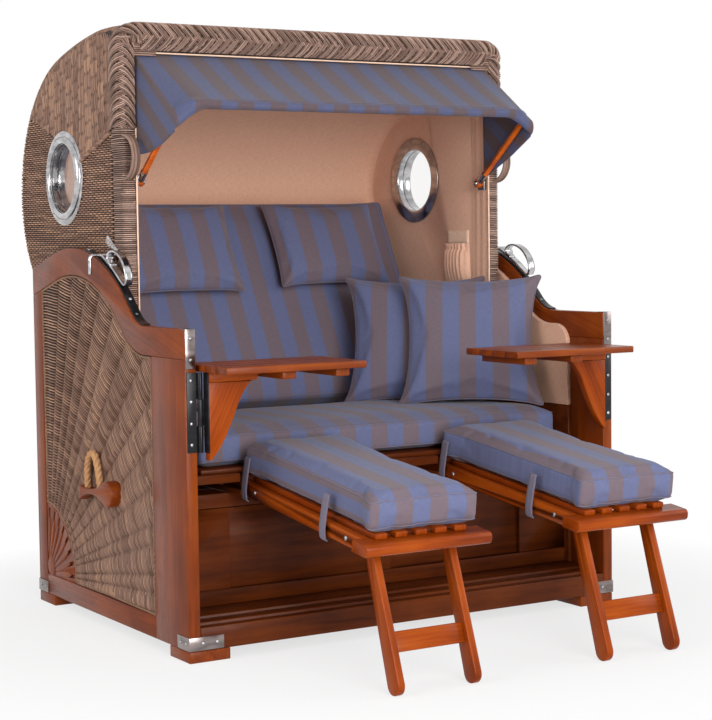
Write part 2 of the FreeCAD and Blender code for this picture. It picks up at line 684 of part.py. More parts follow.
def feet_and_irons():
    """Corner feet, corner irons and the cap strips on the front posts."""
    feet = []
    irons = []
    for name, foot_y, iron_y, inner_y in (
            ("front", "0", "-iron_thick", "iron_thick"),
            ("rear", "base_depth - foot_size", "base_depth + iron_thick - iron_side", "-iron_thick")):
        foot = box(f"{name}_foot", "half_width - foot_size", foot_y, "0", "foot_size", "foot_size",
                   "foot_height")
        feet += [foot, mirror(f"{name}_foot_left", foot)]
        outer = box(f"{name}_iron_outer", "half_width + iron_thick - iron_front", iron_y,
                    "foot_height + iron_thick", "iron_front", "iron_side", "iron_height")
        inner = box(f"{name}_iron_inner", "half_width - iron_front", f"{iron_y} + {inner_y}",
                    "foot_height", "iron_front", "iron_side", "iron_height + 2 * iron_thick")
        iron = cut(f"{name}_iron", outer, inner)
        irons += [iron, mirror(f"{name}_iron_left", iron)]
    face = box("cap_face", f"{SIDE_X} + iron_thick", "-iron_thick", "arm_height - cap_height",
               "side_thick - 2 * iron_thick", "iron_thick", "cap_height + iron_thick")
    top = box("cap_top", f"{SIDE_X} + iron_thick", "-iron_thick", "arm_height",
              "side_thick - 2 * iron_thick", "side_thick", "iron_thick")
    cap = fuse("post_cap", face, top)
    keep(group("feet", feet))
    keep(group("corner_irons", irons + [cap, mirror("post_cap_left", cap)]))


def lower_front():
    """Stepped plinth, panelled front and the boards that line the lower sides."""
    sill_top = "foot_height + sill_height"
    inner_width = f"2 * ({SIDE_X})"
    left = f"-({SIDE_X})"
    rail = box("front_rail", left, "0", "foot_height", inner_width, "plinth_thick", "sill_height")
    tread = box("first_tread", left, "plinth_thick", "foot_height", inner_width, "plinth_tread",
                "sill_height + plinth_step")
    ledge = box("second_tread", left, "plinth_thick + plinth_tread", "foot_height", inner_width,
                "panel_y + panel_thick - plinth_thick - plinth_tread", "sill_height + 2 * plinth_step")
    keep(group("front_plinth", [rail, tread, ledge]))
    low = f"{sill_top} + 2 * plinth_step"
    half = f"({SIDE_X} - inner_board_thick)"
    sill = box("panel_sill", f"-{half}", "panel_y", low, f"2 * {half}", "panel_thick",
               f"field_low - ({low})")
    head = box("panel_head", f"-{half}", "panel_y", "field_high", f"2 * {half}", "panel_thick",
               "panel_top - field_high")
    stile = box("panel_stile", "field_half", "panel_y", "field_low", f"{half} - field_half", "panel_thick",
                "field_high - field_low")
    upright = box("panel_muntin", "-muntin / 2", "panel_y", "field_low", "muntin", "panel_thick",
                  "field_high - field_low")
    field = box("panel_field", "muntin / 2", "panel_y + panel_thick - field_thick", "field_low",
                "field_half - muntin / 2", "field_thick", "field_high - field_low")
    behind = box("side_board_rear", f"{SIDE_X} - inner_board_thick", "panel_y + panel_thick", sill_top,
                 "inner_board_thick", "base_depth - rear_post_width - panel_y - panel_thick",
                 f"cheek_low - ({sill_top})")
    joint = box("side_board_joint", f"{SIDE_X} - inner_board_thick", "panel_y", low, "inner_board_thick",
                "panel_thick", f"cheek_low - ({low})")
    front_part = box("side_board_front", f"{SIDE_X} - inner_board_thick", "cheek_front", low,
                     "inner_board_thick", "panel_y - cheek_front", f"cheek_low - ({low})")
    board = fuse("lining_board", behind, joint, front_part)
    twins = [stile, field, board]
    others = [mirror(f"{twin.Name}_left", twin) for twin in twins]
    keep(group("lower_panelling", [sill, head, upright] + twins + others))


RUNNER_TOP = ("footrest_low + (footrest_length - bar_width) * sin(footrest_slope * 1deg) - soft_gap")
RUNNER_IN = "footrest_x - footrest_half - 2 * soft_gap - runner_width - runner_gap"
RUNNER_OUT = "footrest_x + footrest_half + 2 * soft_gap + runner_gap"


def seat_base():
    """Seat rails, footrest runners, seat board and the low rear panel."""
    half = f"({SIDE_X} - inner_board_thick)"
    rail_low = "seat_height - seat_rail"
    side = box("seat_side_rail", f"{half} - seat_rail_width", "cheek_front", rail_low, "seat_rail_width",
               "ear_front - seat_rail_width / 2 - cheek_front", "seat_rail")
    rear = box("seat_rear_rail", f"-{half}", "seat_rear - seat_rail_width", rail_low, f"2 * {half}",
               "seat_rail_width", "seat_rail")
    block = box("seat_side_block", f"{RUNNER_OUT} + runner_width", "block_front", rail_low,
                f"{SIDE_X} - ({RUNNER_OUT}) - runner_width", "2 * seat_rail", "seat_rail")
    middle = box("seat_middle_block", f"-({RUNNER_IN})", "block_front", rail_low, f"2 * ({RUNNER_IN})",
                 "2 * seat_rail", "seat_rail")
    bearer_low = f"{RUNNER_TOP} - runner_height - bearer_height"
    bearer = box("runner_bearer", f"-{half}", "runner_end - bar_width", bearer_low, f"2 * {half}",
                 "bar_width", "bearer_height")
    keep(group("seat_rails", [side, mirror("seat_side_rail_left", side), rear, block,
                              mirror("seat_side_block_left", block), middle, bearer]))
    runners = []
    for name, x in (("inner", RUNNER_IN), ("outer", RUNNER_OUT)):
        runner = box(f"{name}_runner", x, "block_front", f"{RUNNER_TOP} - runner_height", "runner_width",
                     "runner_end - block_front", "runner_height")
        runners += [runner, mirror(f"{name}_runner_left", runner)]
    keep(group("footrest_runners", runners))
    keep(box("seat_board", "-seat_half", "seat_front", "seat_height", "2 * seat_half",
             "seat_rear - seat_front", "board_thick"))
    panel_y = "base_depth - side_thick"
    sill = box("rear_sill", f"-({SIDE_X})", panel_y, "foot_height", f"2 * ({SIDE_X})", "side_thick",
               "sill_height")
    sheet_panel = box("rear_sheet", f"-({SIDE_X})", f"{panel_y} + weave_recess", "foot_height + sill_height",
                      f"2 * ({SIDE_X})", "weave_thick", "rear_panel_height - 2 * sill_height - foot_height")
    head = box("rear_head", f"-({SIDE_X})", panel_y, "rear_panel_height - sill_height", f"2 * ({SIDE_X})",
               "side_thick", "sill_height")
    keep(group("rear_panel", [sill, sheet_panel, head]))


def cushion(width, length, thick, crown):
    """A box cushion: flat below, crowned on top, with swelling sides and drawn-in ends."""
    sections = []
    ends = ((0, 16, 0.66), (0.015, 8, 0.85), (0.06, 2, 0.96), (0.2, 0, 0.99))
    middle = ((0.5, 0, 1.0),)
    for along, narrow, share in ends + middle + tuple((1 - a, n, s) for a, n, s in reversed(ends)):
        half = width / 2 - narrow
        side = thick * 0.12
        low = thick * (1 - share) / 2
        high = low + thick * share
        y = along * length
        mid = (low + high) / 2
        rise = crown * share ** 3
        corners = [Vector(side - half, y, low), Vector(half - side, y, low),
                   Vector(half - side, y, high), Vector(side - half, y, high)]
        edges = [Part.LineSegment(corners[0], corners[1]),
                 Part.Arc(corners[1], Vector(half, y, mid), corners[2]),
                 Part.Arc(corners[2], Vector(0, y, high + rise), corners[3]),
                 Part.Arc(corners[3], Vector(-half, y, mid), corners[0])]
        sections.append(loop(None, edges))
    return Part.makeLoft(sections, True, True)


def pillow(width, length, thick):
    """A knife-edged pillow: swollen in the middle, with drawn-in sides between its corners."""
    sections = []
    ends = ((0, 0, 0.12), (0.06, 0.03, 0.4), (0.16, 0.05, 0.68), (0.32, 0.07, 0.92))
    middle = ((0.5, 0.075, 1.0),)
    for along, draw, share in ends + middle + tuple((1 - a, n, s) for a, n, s in reversed(ends)):
        half = width * (1 - draw) / 2
        y = length * (along - 0.5)
        left, right = Vector(-half, y, 0), Vector(half, y, 0)
        edges = [Part.Arc(left, Vector(0, y, -thick * share / 2), right),
                 Part.Arc(right, Vector(0, y, thick * share / 2), left)]
        sections.append(loop(None, edges))
    return Part.makeLoft(sections, True, True)


def settle(piece, seat, towards=Vector(0, 0, -1)):
    """Move a piece until it lies on its seat."""
    for _ in range(4):
        gap = piece.Shape.distToShape(seat.Shape)[0]
        piece.Placement.Base = piece.Placement.Base + towards * (gap - d.soft_gap)


def seat_softs():
    """Seat cushion and the two loose pillows that stand on it, one behind the other."""
    top = d.seat_height + d.board_thick + d.soft_gap
    crown = d.cushion_crown
    stuffing = cushion(d.seat_cushion_width, d.seat_cushion_depth, d.seat_cushion_thick, crown)
    spot = Vector(0, d.front_y + d.seat_cushion_front, top)
    seat = keep(shaped("seat_cushion", stuffing, FreeCAD.Placement(spot, FreeCAD.Rotation())))
    turn = FreeCAD.Rotation(Vector(0, 0, 1), d.pillow_turn)
    tilt = FreeCAD.Rotation(Vector(1, 0, 0), 90 - d.pillow_lean)
    height = top + d.seat_cushion_thick + crown + d.pillow_size / 2
    behind = turn.multVec(Vector(0, d.pillow_apart, 0))
    aside = turn.multVec(Vector(-d.pillow_shift, 0, 0))
    front = Vector(d.pillow_x, d.front_y + d.pillow_y, height)
    for label, middle in (("front_pillow", front), ("rear_pillow", front + behind + aside)):
        shape = pillow(d.pillow_size, d.pillow_size, d.pillow_thick)
        settle(keep(shaped(label, shape, FreeCAD.Placement(middle, turn * tilt))), seat)


def hood_arcs(inset):
    """Centres and radii of the hood's outline, moved inwards: top, corner, bulge."""
    bulge = (d.hood_reach - d.bulge_radius, d.bulge_height)
    corner = polar(bulge, d.bulge_radius - d.corner_radius, d.bulge_angle)
    crown = polar(corner, d.corner_radius - d.crown_radius, d.crown_angle)
    radii = (d.crown_radius - inset, d.corner_radius - inset, d.bulge_radius - inset)
    return tuple(zip((crown, corner, bulge), radii))


def back_line(inset, height):
    """Depth of the hood's leaning back at a height."""
    (_, _, (bulge, radius)) = hood_arcs(inset)
    top = polar(bulge, radius, -d.back_slope)
    return top[0] - (top[1] - height) * math.tan(math.radians(d.back_slope))


def hood_block(inset, front, foot):
    """The hood's outline as a solid block with rounded side edges."""
    half = d.hood_half - inset
    crown, corner, bulge = hood_arcs(inset)
    depth = front - crown[0][0]
    start = math.degrees(math.acos(depth / crown[1]))
    stretches = ((crown, start, d.crown_angle), (corner, d.crown_angle, d.bulge_angle),
                 (bulge, d.bulge_angle, -d.back_slope))

    def spot(point):
        return Vector(-half, *point)

    edges = [Part.LineSegment(spot((front, foot)), spot(polar(crown[0], crown[1], start)))]
    for (centre, radius), high, low in stretches:
        points = [spot(polar(centre, radius, angle)) for angle in (high, (high + low) / 2, low)]
        edges.append(Part.Arc(*points))
    heel = (back_line(inset, foot), foot)
    edges.append(Part.LineSegment(spot(polar(bulge[0], bulge[1], -d.back_slope)), spot(heel)))
    edges.append(Part.LineSegment(spot(heel), spot((front, foot))))
    solid = Part.Face(loop(None, edges)).extrude(Vector(2 * half, 0, 0))
    rounded = []
    for edge in solid.Edges:
        ends = [vertex.Point for vertex in edge.Vertexes]
        flat = abs(ends[0].x - ends[1].x) < 1e-6
        at_front = all(abs(p.y - front) < 1e-6 for p in ends)
        at_foot = all(abs(p.z - foot) < 1e-6 for p in ends)
        if flat and not at_front and not at_foot:
            rounded.append(edge)
    return solid.makeFillet(d.edge_radius - inset, rounded)


def slab(low_x, high_x):
    """A tall block between two widths, used to part the hood."""
    return Part.makeBox(high_x - low_x, 4 * d.hood_reach, 4 * d.hood_reach,
                        Vector(low_x, -d.hood_reach, -d.hood_reach))


def porthole_drill(radius):
    """A bar through the whole hood at the portholes."""
    return Part.makeCylinder(radius, 2 * d.hood_half, Vector(-d.hood_half, d.porthole_y, d.porthole_height),
                             Vector(1, 0, 0))


def hood_shell():
    """Wicker sides, roof with back, and the lining inside them."""
    rim_rear = d.hood_front + d.rim_depth
    reach = d.hood_wall
    drill = porthole_drill(d.porthole_bore + d.spigot_thick + d.soft_gap)
    wicker = hood_block(0, rim_rear, d.hood_foot)
    hollow = hood_block(d.hood_wall, rim_rear - reach, d.hood_foot - reach)
    shell = wicker.cut(hollow).cut(drill)
    parting = d.hood_half - d.edge_radius
    both("hood_side", shaped("right_hood_side", shell.common(slab(parting, d.hood_half))))
    keep(shaped("hood_roof", shell.common(slab(-parting, parting))))
    outside = d.hood_wall + d.soft_gap
    cloth = hood_block(outside, rim_rear, d.hood_foot)
    inside = hood_block(outside + d.lining_thick, rim_rear - reach, d.hood_foot - reach)
    keep(shaped("hood_lining", cloth.cut(inside).cut(drill)))


def rim_outline(half, top, radius, foot):
    """Edges of an upside-down U with round shoulders, in width and height."""
    left, right = radius - half, half - radius
    return [line((-half, foot), (-half, top - radius)), arc((left, top - radius), radius, 90, 180),
            line((left, top), (right, top)), arc((right, top - radius), radius, 0, 90),
            line((half, top - radius), (half, foot))]


def hood_rim():
    """Braid over the top of the hood's front edge, and bound edges below it."""
    outer = d.hood_half + d.braid_proud
    inner = d.hood_half - d.hood_wall - 2 * d.rim_proud
    edges = rim_outline(outer, d.braid_top, d.edge_radius, d.braid_foot)
    edges += rim_outline(inner, d.braid_low, d.braid_corner, d.braid_foot)
    edges += [line((side * inner, d.braid_foot), (side * outer, d.braid_foot)) for side in (-1, 1)]
    braid = plate("hood_braid", edges, "rim_depth", y="hood_front + rim_depth", plane="XZ_Plane")
    doc.recompute()
    soften(braid, "hood_braid_edges", d.braid_round)
    keep(braid)
    inside = "hood_half - hood_wall - 2 * rim_proud"
    binding = box("binding_block", inside, "hood_front", "hood_foot", f"hood_half - ({inside})",
                  "rim_depth", "braid_foot - hood_foot")
    doc.recompute()
    round_edges = doc.addObject("Part::Fillet", "hood_binding")
    round_edges.Base = binding
    upright = []
    for number, edge in enumerate(binding.Shape.Edges, start=1):
        ends = [vertex.Point for vertex in edge.Vertexes]
        if abs(ends[0].z - ends[1].z) > 1 and ends[0].y < d.front_y + d.hood_front + 1:
            upright.append((number, d.binding_round, d.binding_round))
    round_edges.Edges = upright
    pair("hood_bindings", round_edges)


def soften(body, label, radius):
    """Round the long edges of a body's front."""
    base = body.Tip
    face_y = min(vertex.Point.y for vertex in base.Shape.Vertexes)
    names = []
    for number, edge in enumerate(base.Shape.Edges, start=1):
        ends = [vertex.Point for vertex in edge.Vertexes]
        level = all(abs(p.y - face_y) < 1e-6 for p in ends)
        low = all(abs(p.z - d.braid_foot) < 1e-6 for p in ends)
        if level and not low:
            names.append(f"Edge{number}")
    rounding = body.newObject("PartDesign::Fillet", label)
    rounding.Base = (base, names)
    rounding.Radius = radius
    body.Tip = rounding


def hood_frame():
    """Wooden ears that turn on the pivot bolts, and the rail between them."""
    pivot = (d.pivot_y, d.pivot_height)
    heel_y = back_line(0, d.hood_foot)
    low = d.hood_foot - d.rim_depth / 2
    left_low = polar(pivot, d.ear_radius, 200)
    right_low = polar(pivot, d.ear_radius, -40)
    front_top = (d.ear_front, d.hood_foot)
    rear_top = (heel_y, d.hood_foot)
    rear_low = (heel_y, low)
    edges = [line(front_top, rear_top), line(rear_top, rear_low), line(rear_low, right_low),
             bend(left_low, polar(pivot, d.ear_radius, -90), right_low), line(left_low, front_top)]
    blank = plate("ear_blank", edges, "hood_wall", "hood_half - hood_wall")
    drill = rod("ear_drill", "hood_half - hood_wall", "pivot_y", "pivot_height", "bolt_radius + run_gap",
                "hood_wall", Vector(1, 0, 0))
    ear = cut("hood_ear", blank, drill)
    rail_y = round(heel_y - d.hood_wall, 3)
    rail = box("hood_rear_rail", "-(hood_half - hood_wall)", str(rail_y), "hood_foot - rim_depth / 2",
               "2 * (hood_half - hood_wall)", str(round(d.hood_wall, 3)), "rim_depth / 2")
    keep(group("hood_frame", [ear, mirror("hood_ear_left", ear), rail]))


def on_back(inset, height):
    """A spot on the leaning back, and the turn that lays a piece along it."""
    turn = FreeCAD.Rotation(Vector(1, 0, 0), 90 - d.back_slope)
    return Vector(0, d.front_y + back_line(inset, height), height), turn


def hood_softs():
    """Back board, back cushion, headrests and the wall pocket."""
    cosine = math.cos(math.radians(d.back_slope))
    board_inset = d.hood_wall + d.lining_thick + 2 * d.soft_gap + d.board_thick
    spot, turn = on_back(board_inset, d.back_low)
    length = (d.back_top - d.back_low) / cosine
    board = Part.makeBox(d.back_width, length, d.board_thick, Vector(-d.back_width / 2, 0, -d.board_thick))
    keep(shaped("back_board", board, FreeCAD.Placement(spot, turn)))
    crown = d.cushion_crown
    spot, turn = on_back(board_inset + d.soft_gap, d.back_low)
    stuffing = cushion(d.back_width, length, d.back_cushion_thick, crown)
    back = keep(shaped("back_cushion", stuffing, FreeCAD.Placement(spot, turn)))
    inset = board_inset + 2 * d.soft_gap + d.back_cushion_thick + crown + d.headrest_thick / 2
    spot, turn = on_back(inset, d.headrest_height)
    for label, x in (("right_headrest", d.headrest_x), ("left_headrest", -d.headrest_x)):
        shape = pillow(d.headrest_width, d.headrest_length, d.headrest_thick)
        headrest = keep(shaped(label, shape, FreeCAD.Placement(spot + Vector(x, 0, 0), turn)))
        settle(headrest, back, turn.multVec(Vector(0, 0, -1)))
    wall_x = d.hood_half - d.hood_wall - d.lining_thick - 2 * d.soft_gap
    keep(shaped("wall_pocket", wall_pocket(wall_x)))


def wall_pocket(wall_x):
    """A pouch of cloth, open at the top, on the right wall."""

    def pouch(inset, low):
        near, far = d.pocket_y + inset, d.pocket_y + d.pocket_width - inset
        middle = Vector(wall_x - d.pocket_bulge + inset, (near + far) / 2, low)
        ends = [Vector(wall_x - inset, near, low), Vector(wall_x - inset, far, low)]
        edges = [Part.Arc(ends[0], middle, ends[1]), Part.LineSegment(ends[1], ends[0])]
        return Part.Face(loop(None, edges)).extrude(Vector(0, 0, d.pocket_high - low + inset))

    outer = pouch(0, d.pocket_low)
    return outer.cut(pouch(d.pocket_cloth, d.pocket_low + d.pocket_cloth))


def portholes():
    """Flanged sleeves clamped from outside and inside, with a pane between them."""
    bore, sleeve = d.porthole_bore, d.porthole_bore + d.spigot_thick
    wall = d.hood_wall + d.soft_gap + d.lining_thick
    middle = -wall / 2
    half_pane = d.pane_thick / 2
    outer = [(d.flange_thick, bore), (d.flange_thick, d.flange_radius), (0, d.flange_radius), (0, sleeve),
             (middle + half_pane, sleeve), (middle + half_pane, bore)]
    inner_face = -wall - d.flange_thick
    inner = [(inner_face, bore), (inner_face, d.flange_radius), (-wall, d.flange_radius), (-wall, sleeve),
             (middle - half_pane, sleeve), (middle - half_pane, bore)]
    spot = ("hood_half", "porthole_y", "porthole_height")
    rings = [turned("outer_ring", outer, *spot), turned("inner_ring", inner, *spot)]
    keep(group("porthole_rings", rings + [mirror(f"{r.Name}_left", r) for r in rings]))
    pane_x = "hood_half - (hood_wall + soft_gap + lining_thick) / 2 - pane_thick / 2"
    pane = rod("pane", pane_x, "porthole_y", "porthole_height", "porthole_bore + spigot_thick", "pane_thick",
               Vector(1, 0, 0))
    pair("porthole_panes", pane)


def grab_loops():
    """Half rings on the hood's front edge."""
    x = d.hood_half - d.hood_wall / 3
    ends = [Vector(x, d.hood_front, d.grab_height + side * d.grab_radius) for side in (-1, 1)]
    front = Vector(x, d.hood_front - d.grab_radius, d.grab_height)
    path = Part.Wire([Part.Arc(ends[0], front, ends[1]).toShape()])
    ring = Part.Wire([Part.Circle(ends[0], Vector(0, 1, 0), d.grab_rod).toShape()])
    pair("grab_loops", shaped("grab_loop", path.makePipeShell([ring], True, True)))


def awning():
    """Bent bow on two pins, and the cloth from the hood's edge over it."""
    inside = "hood_half - hood_wall - 2 * rim_proud"
    block = box("bow_block", "bow_half + bow_rod + 2 * soft_gap", "bow_pivot_y - bow_block_depth / 2",
                "bow_pivot_height - bow_block_height / 2", f"{inside} - bow_half - bow_rod - 2 * soft_gap",
                "bow_block_depth", "bow_block_height")
    pin = rod("bow_pin_rod", "bow_half - bow_rod", "bow_pivot_y", "bow_pivot_height", "bow_pin",
              f"{inside} - bow_half + bow_rod", Vector(1, 0, 0))
    pair("awning_brackets", fuse("awning_bracket", block, pin))
    turn = FreeCAD.Rotation(Vector(1, 0, 0), 180 - d.bow_rise)
    spot = FreeCAD.Placement(Vector(0, d.front_y + d.bow_pivot_y, d.bow_pivot_height), turn)
    half, far, round_end = d.bow_half, d.bow_length, d.bow_corner
    diagonal = round_end * (1 - math.sqrt(0.5))
    left = [Vector(-half, d.bow_eye, 0), Vector(-half, far - round_end, 0), Vector(round_end - half, far, 0)]
    points = left + [Vector(-p.x, p.y, 0) for p in reversed(left)]
    edges = [Part.LineSegment(points[0], points[1]),
             Part.Arc(points[1], Vector(diagonal - half, far - diagonal, 0), points[2]),
             Part.LineSegment(points[2], points[3]),
             Part.Arc(points[3], Vector(half - diagonal, far - diagonal, 0), points[4]),
             Part.LineSegment(points[4], points[5])]
    ring = Part.Wire([Part.Circle(points[0], Vector(0, 1, 0), d.bow_rod).toShape()])
    bow = loop(None, edges).makePipeShell([ring], True, True)
    for side in (-1, 1):
        start = Vector(side * half - d.bow_rod, 0, 0)
        eye = Part.makeCylinder(d.bow_eye, 2 * d.bow_rod, start, Vector(1, 0, 0))
        hole = Part.makeCylinder(d.bow_pin + d.run_gap, 2 * d.bow_rod, start, Vector(1, 0, 0))
        stem = Part.makeCylinder(d.bow_rod, 2 * d.bow_eye, Vector(side * half, 0, 0), Vector(0, 1, 0))
        bow = bow.fuse(stem).fuse(eye).cut(hole)
    keep(shaped("awning_bow", bow.removeSplitter(), spot))
    keep(shaped("awning_cloth", awning_cloth()))


def awning_cloth():
    """Sloping cloth with a hanging hem and two side wings."""
    tip = polar((d.bow_pivot_y, d.bow_pivot_height), d.bow_length, 180 - d.bow_rise)
    over = d.bow_rod + d.soft_gap
    top = (d.bow_pivot_y, d.braid_low - d.cloth_thick - d.soft_gap)
    fall = math.degrees(math.atan2(top[1] - tip[1], top[0] - tip[0]))
    crest = polar(tip, over, 90 + fall)
    nose_turn = 135 + fall / 2
    nose_stretch = 1 / math.cos(math.radians(45 - fall / 2))
    nose = polar(tip, over * nose_stretch, nose_turn)
    front = (tip[0] - over, tip[1])
    low = (front[0], front[1] - d.hem_drop)
    half = d.bow_half + d.bow_rod + d.soft_gap + d.cloth_thick
    thick = d.cloth_thick
    up = (top[0], top[1] + thick)
    crest_up = polar(tip, over + thick, 90 + fall)
    nose_up = polar(tip, (over + thick) * nose_stretch, nose_turn)
    section = [top, up, crest_up, nose_up, (low[0] - thick, low[1]), low, nose, crest]
    sheet_cloth = Part.Face(loop([Vector(-half, *p) for p in section])).extrude(Vector(2 * half, 0, 0))
    wing = [top, crest, nose, low, (d.bow_pivot_y - d.bow_eye, d.wing_low)]
    for side in (half - thick, -half):
        wing_face = Part.Face(loop([Vector(side, *p) for p in wing]))
        sheet_cloth = sheet_cloth.fuse(wing_face.extrude(Vector(thick, 0, 0)))
    return sheet_cloth.removeSplitter()


def sector(low, high, start, end):
    """Edges of a ring's sector about the hood's pivot."""
    pivot = (d.pivot_y, d.pivot_height)
    return [arc(pivot, low, start, end), arc(pivot, high, start, end),
            line(polar(pivot, low, start), polar(pivot, high, start)),
            line(polar(pivot, low, end), polar(pivot, high, end))]


def latches():
    """Rods on the hood with bent tails, and the levers that turn on them over the strips."""
    spot = (d.rod_y, d.rod_height)
    slope = d.strap_slope
    across = d.strap_half
    ends = [polar(spot, d.strap_length, slope), polar(spot, d.strap_tail, slope + 180)]
    edges = outline([polar(ends[0], across, slope + 90), polar(ends[1], across, slope + 90),
                     polar(ends[1], across, slope - 90), polar(ends[0], across, slope - 90)])
    strap = plate("latch_strap", edges, "strip_thick", "hood_half")
    start = d.hood_half + d.strip_thick
    turn = 2.4 * d.rod_radius
    knee = start + d.rod_length
    elbow = Vector(knee + turn * math.sqrt(0.5), d.rod_y, d.rod_height - turn * (1 - math.sqrt(0.5)))
    points = [Vector(start, *spot), Vector(knee, *spot), Vector(knee + turn, d.rod_y, d.rod_height - turn),
              Vector(knee + turn, d.rod_y, d.rod_height - turn - d.rod_tail)]
    route = loop(None, [Part.LineSegment(points[0], points[1]), Part.Arc(points[1], elbow, points[2]),
                        Part.LineSegment(points[2], points[3])])
    ring = Part.Wire([Part.Circle(points[0], Vector(1, 0, 0), d.rod_radius).toShape()])
    bar = shaped("latch_rod", route.makePipeShell([ring], True, True))
    twins = [mirror("latch_strap_left", strap), mirror("latch_rod_left", bar)]
    keep(group("latch_brackets", [strap, bar] + twins))
    low = d.arch_radius + d.lever_low
    pivot = (d.pivot_y, d.pivot_height)
    hub_angle = math.degrees(math.atan2(d.rod_height - d.pivot_height, d.rod_y - d.pivot_y))
    first = hub_angle + d.lever_start
    last = hub_angle + d.lever_end
    wall = math.degrees(d.lever_bar / low)
    lever_x = "half_width - side_thick / 2 - lever_width / 2"
    frame = sector(low, low + d.lever_high, first, last)
    frame += sector(low + d.lever_bar, low + d.lever_high - d.lever_bar, first + wall, last - wall)
    bow = plate("lever_bow", frame, "lever_width", lever_x)
    arm = plate("lever_arm", sector(low, low + d.lever_bar, hub_angle, first + wall), "lever_width", lever_x)
    hub = rod("lever_hub", lever_x, "rod_y", "rod_height", "rod_radius + lever_bar", "lever_width",
              Vector(1, 0, 0))
    drill = rod("lever_drill", lever_x, "rod_y", "rod_height", "rod_radius + run_gap", "lever_width",
                Vector(1, 0, 0))
    both("latch_lever", cut("right_latch_lever", fuse("lever_blank", bow, arm, hub), drill))


HINGE_X = f"{SIDE_X} - hinge_in"


def tables():
    """Swing tables: planks on battens, a curved gusset and a pinned hinge on the post."""
    third = "hinge_tall / 3"
    knuckles = [rod(f"post_knuckle_{end}", HINGE_X, "-hinge_out", f"hinge_low + {lift}", "knuckle_radius",
                    third) for end, lift in (("low", "0"), ("high", f"2 * {third}"))]
    tabs = [box(f"post_tab_{end}", HINGE_X, "-leaf_thick", f"hinge_low + {lift}",
                "knuckle_radius + leaf_step", "leaf_thick", third)
            for end, lift in (("low", "0"), ("high", f"2 * {third}"))]
    leaf = box("post_leaf", f"{HINGE_X} + knuckle_radius + leaf_step", "-leaf_thick", "hinge_low",
               "side_thick - knuckle_radius", "leaf_thick", "hinge_tall")
    pin = rod("post_pin", HINGE_X, "-hinge_out", "hinge_low", "hinge_pin", "hinge_tall")
    pair("post_hinges", fuse("post_hinge", leaf, pin, *knuckles, *tabs))
    edge_x = f"{HINGE_X} - knuckle_radius - soft_gap - 2 * leaf_thick"
    middle_low = f"hinge_low + {third} + soft_gap"
    middle_tall = f"{third} - 2 * soft_gap"
    knuckle = rod("table_knuckle", HINGE_X, "-hinge_out", middle_low, "knuckle_radius", middle_tall)
    web = box("table_web", f"{edge_x} + leaf_thick", "-hinge_out - leaf_thick", middle_low,
              "knuckle_radius + leaf_thick", "2 * leaf_thick", middle_tall)
    flap = box("table_flap", edge_x, "-hinge_out - gusset_thick", "hinge_low", "leaf_thick", "gusset_thick",
               "hinge_tall")
    bore = rod("table_bore", HINGE_X, "-hinge_out", "hinge_low", "hinge_pin + run_gap", "hinge_tall")
    both("table_hinge", cut("right_table_hinge", fuse("table_leaf", knuckle, web, flap), bore))
    under = d.table_height - d.plank_thick
    length, tall, toe = d.gusset_length, d.gusset_height, d.gusset_toe
    lip = d.gusset_lip
    sweep = [(-toe, -tall), (-length * 0.42, -tall * 0.42), (-length, -lip)]
    edges = [line((0, 0), (0, -tall)), line((0, -tall), sweep[0]), bend(*sweep),
             line(sweep[2], (-length, 0)), line((-length, 0), (0, 0))]
    both("table_gusset", plate("right_table_gusset", edges, "gusset_thick", edge_x, "-hinge_out",
                               "table_height - plank_thick", "XZ_Plane"))
    count = int(d.plank_count)
    end_x = f"{SIDE_X} - table_gap"
    width = f"(table_front + table_rear - {count - 1} * plank_gap) / {count}"
    planks = [box(f"table_plank_{n}", f"{end_x} - table_length",
                  f"-table_front + {n} * ({width} + plank_gap)", "table_height - plank_thick",
                  "table_length", width, "plank_thick") for n in range(count)]
    battens = [box(f"table_batten_{name}", x, "-table_front + batten_height", f"{under} - batten_height",
                   "batten_width", "table_front + table_rear - 2 * batten_height", "batten_height")
               for name, x in (("inner", f"{end_x} - table_length + batten_width"),
                               ("outer", f"{edge_x} - gusset_length - batten_width"))]
    both("table_top", group("right_table_top", planks + battens))


def footrest_placement(side):
    """Where a footrest's own frame lies: front end of the rails, sloping up to the back."""
    turn = FreeCAD.Rotation(Vector(1, 0, 0), d.footrest_slope)
    spot = Vector(side * d.footrest_x, d.front_y - d.footrest_front, d.footrest_low)
    return FreeCAD.Placement(spot, turn)


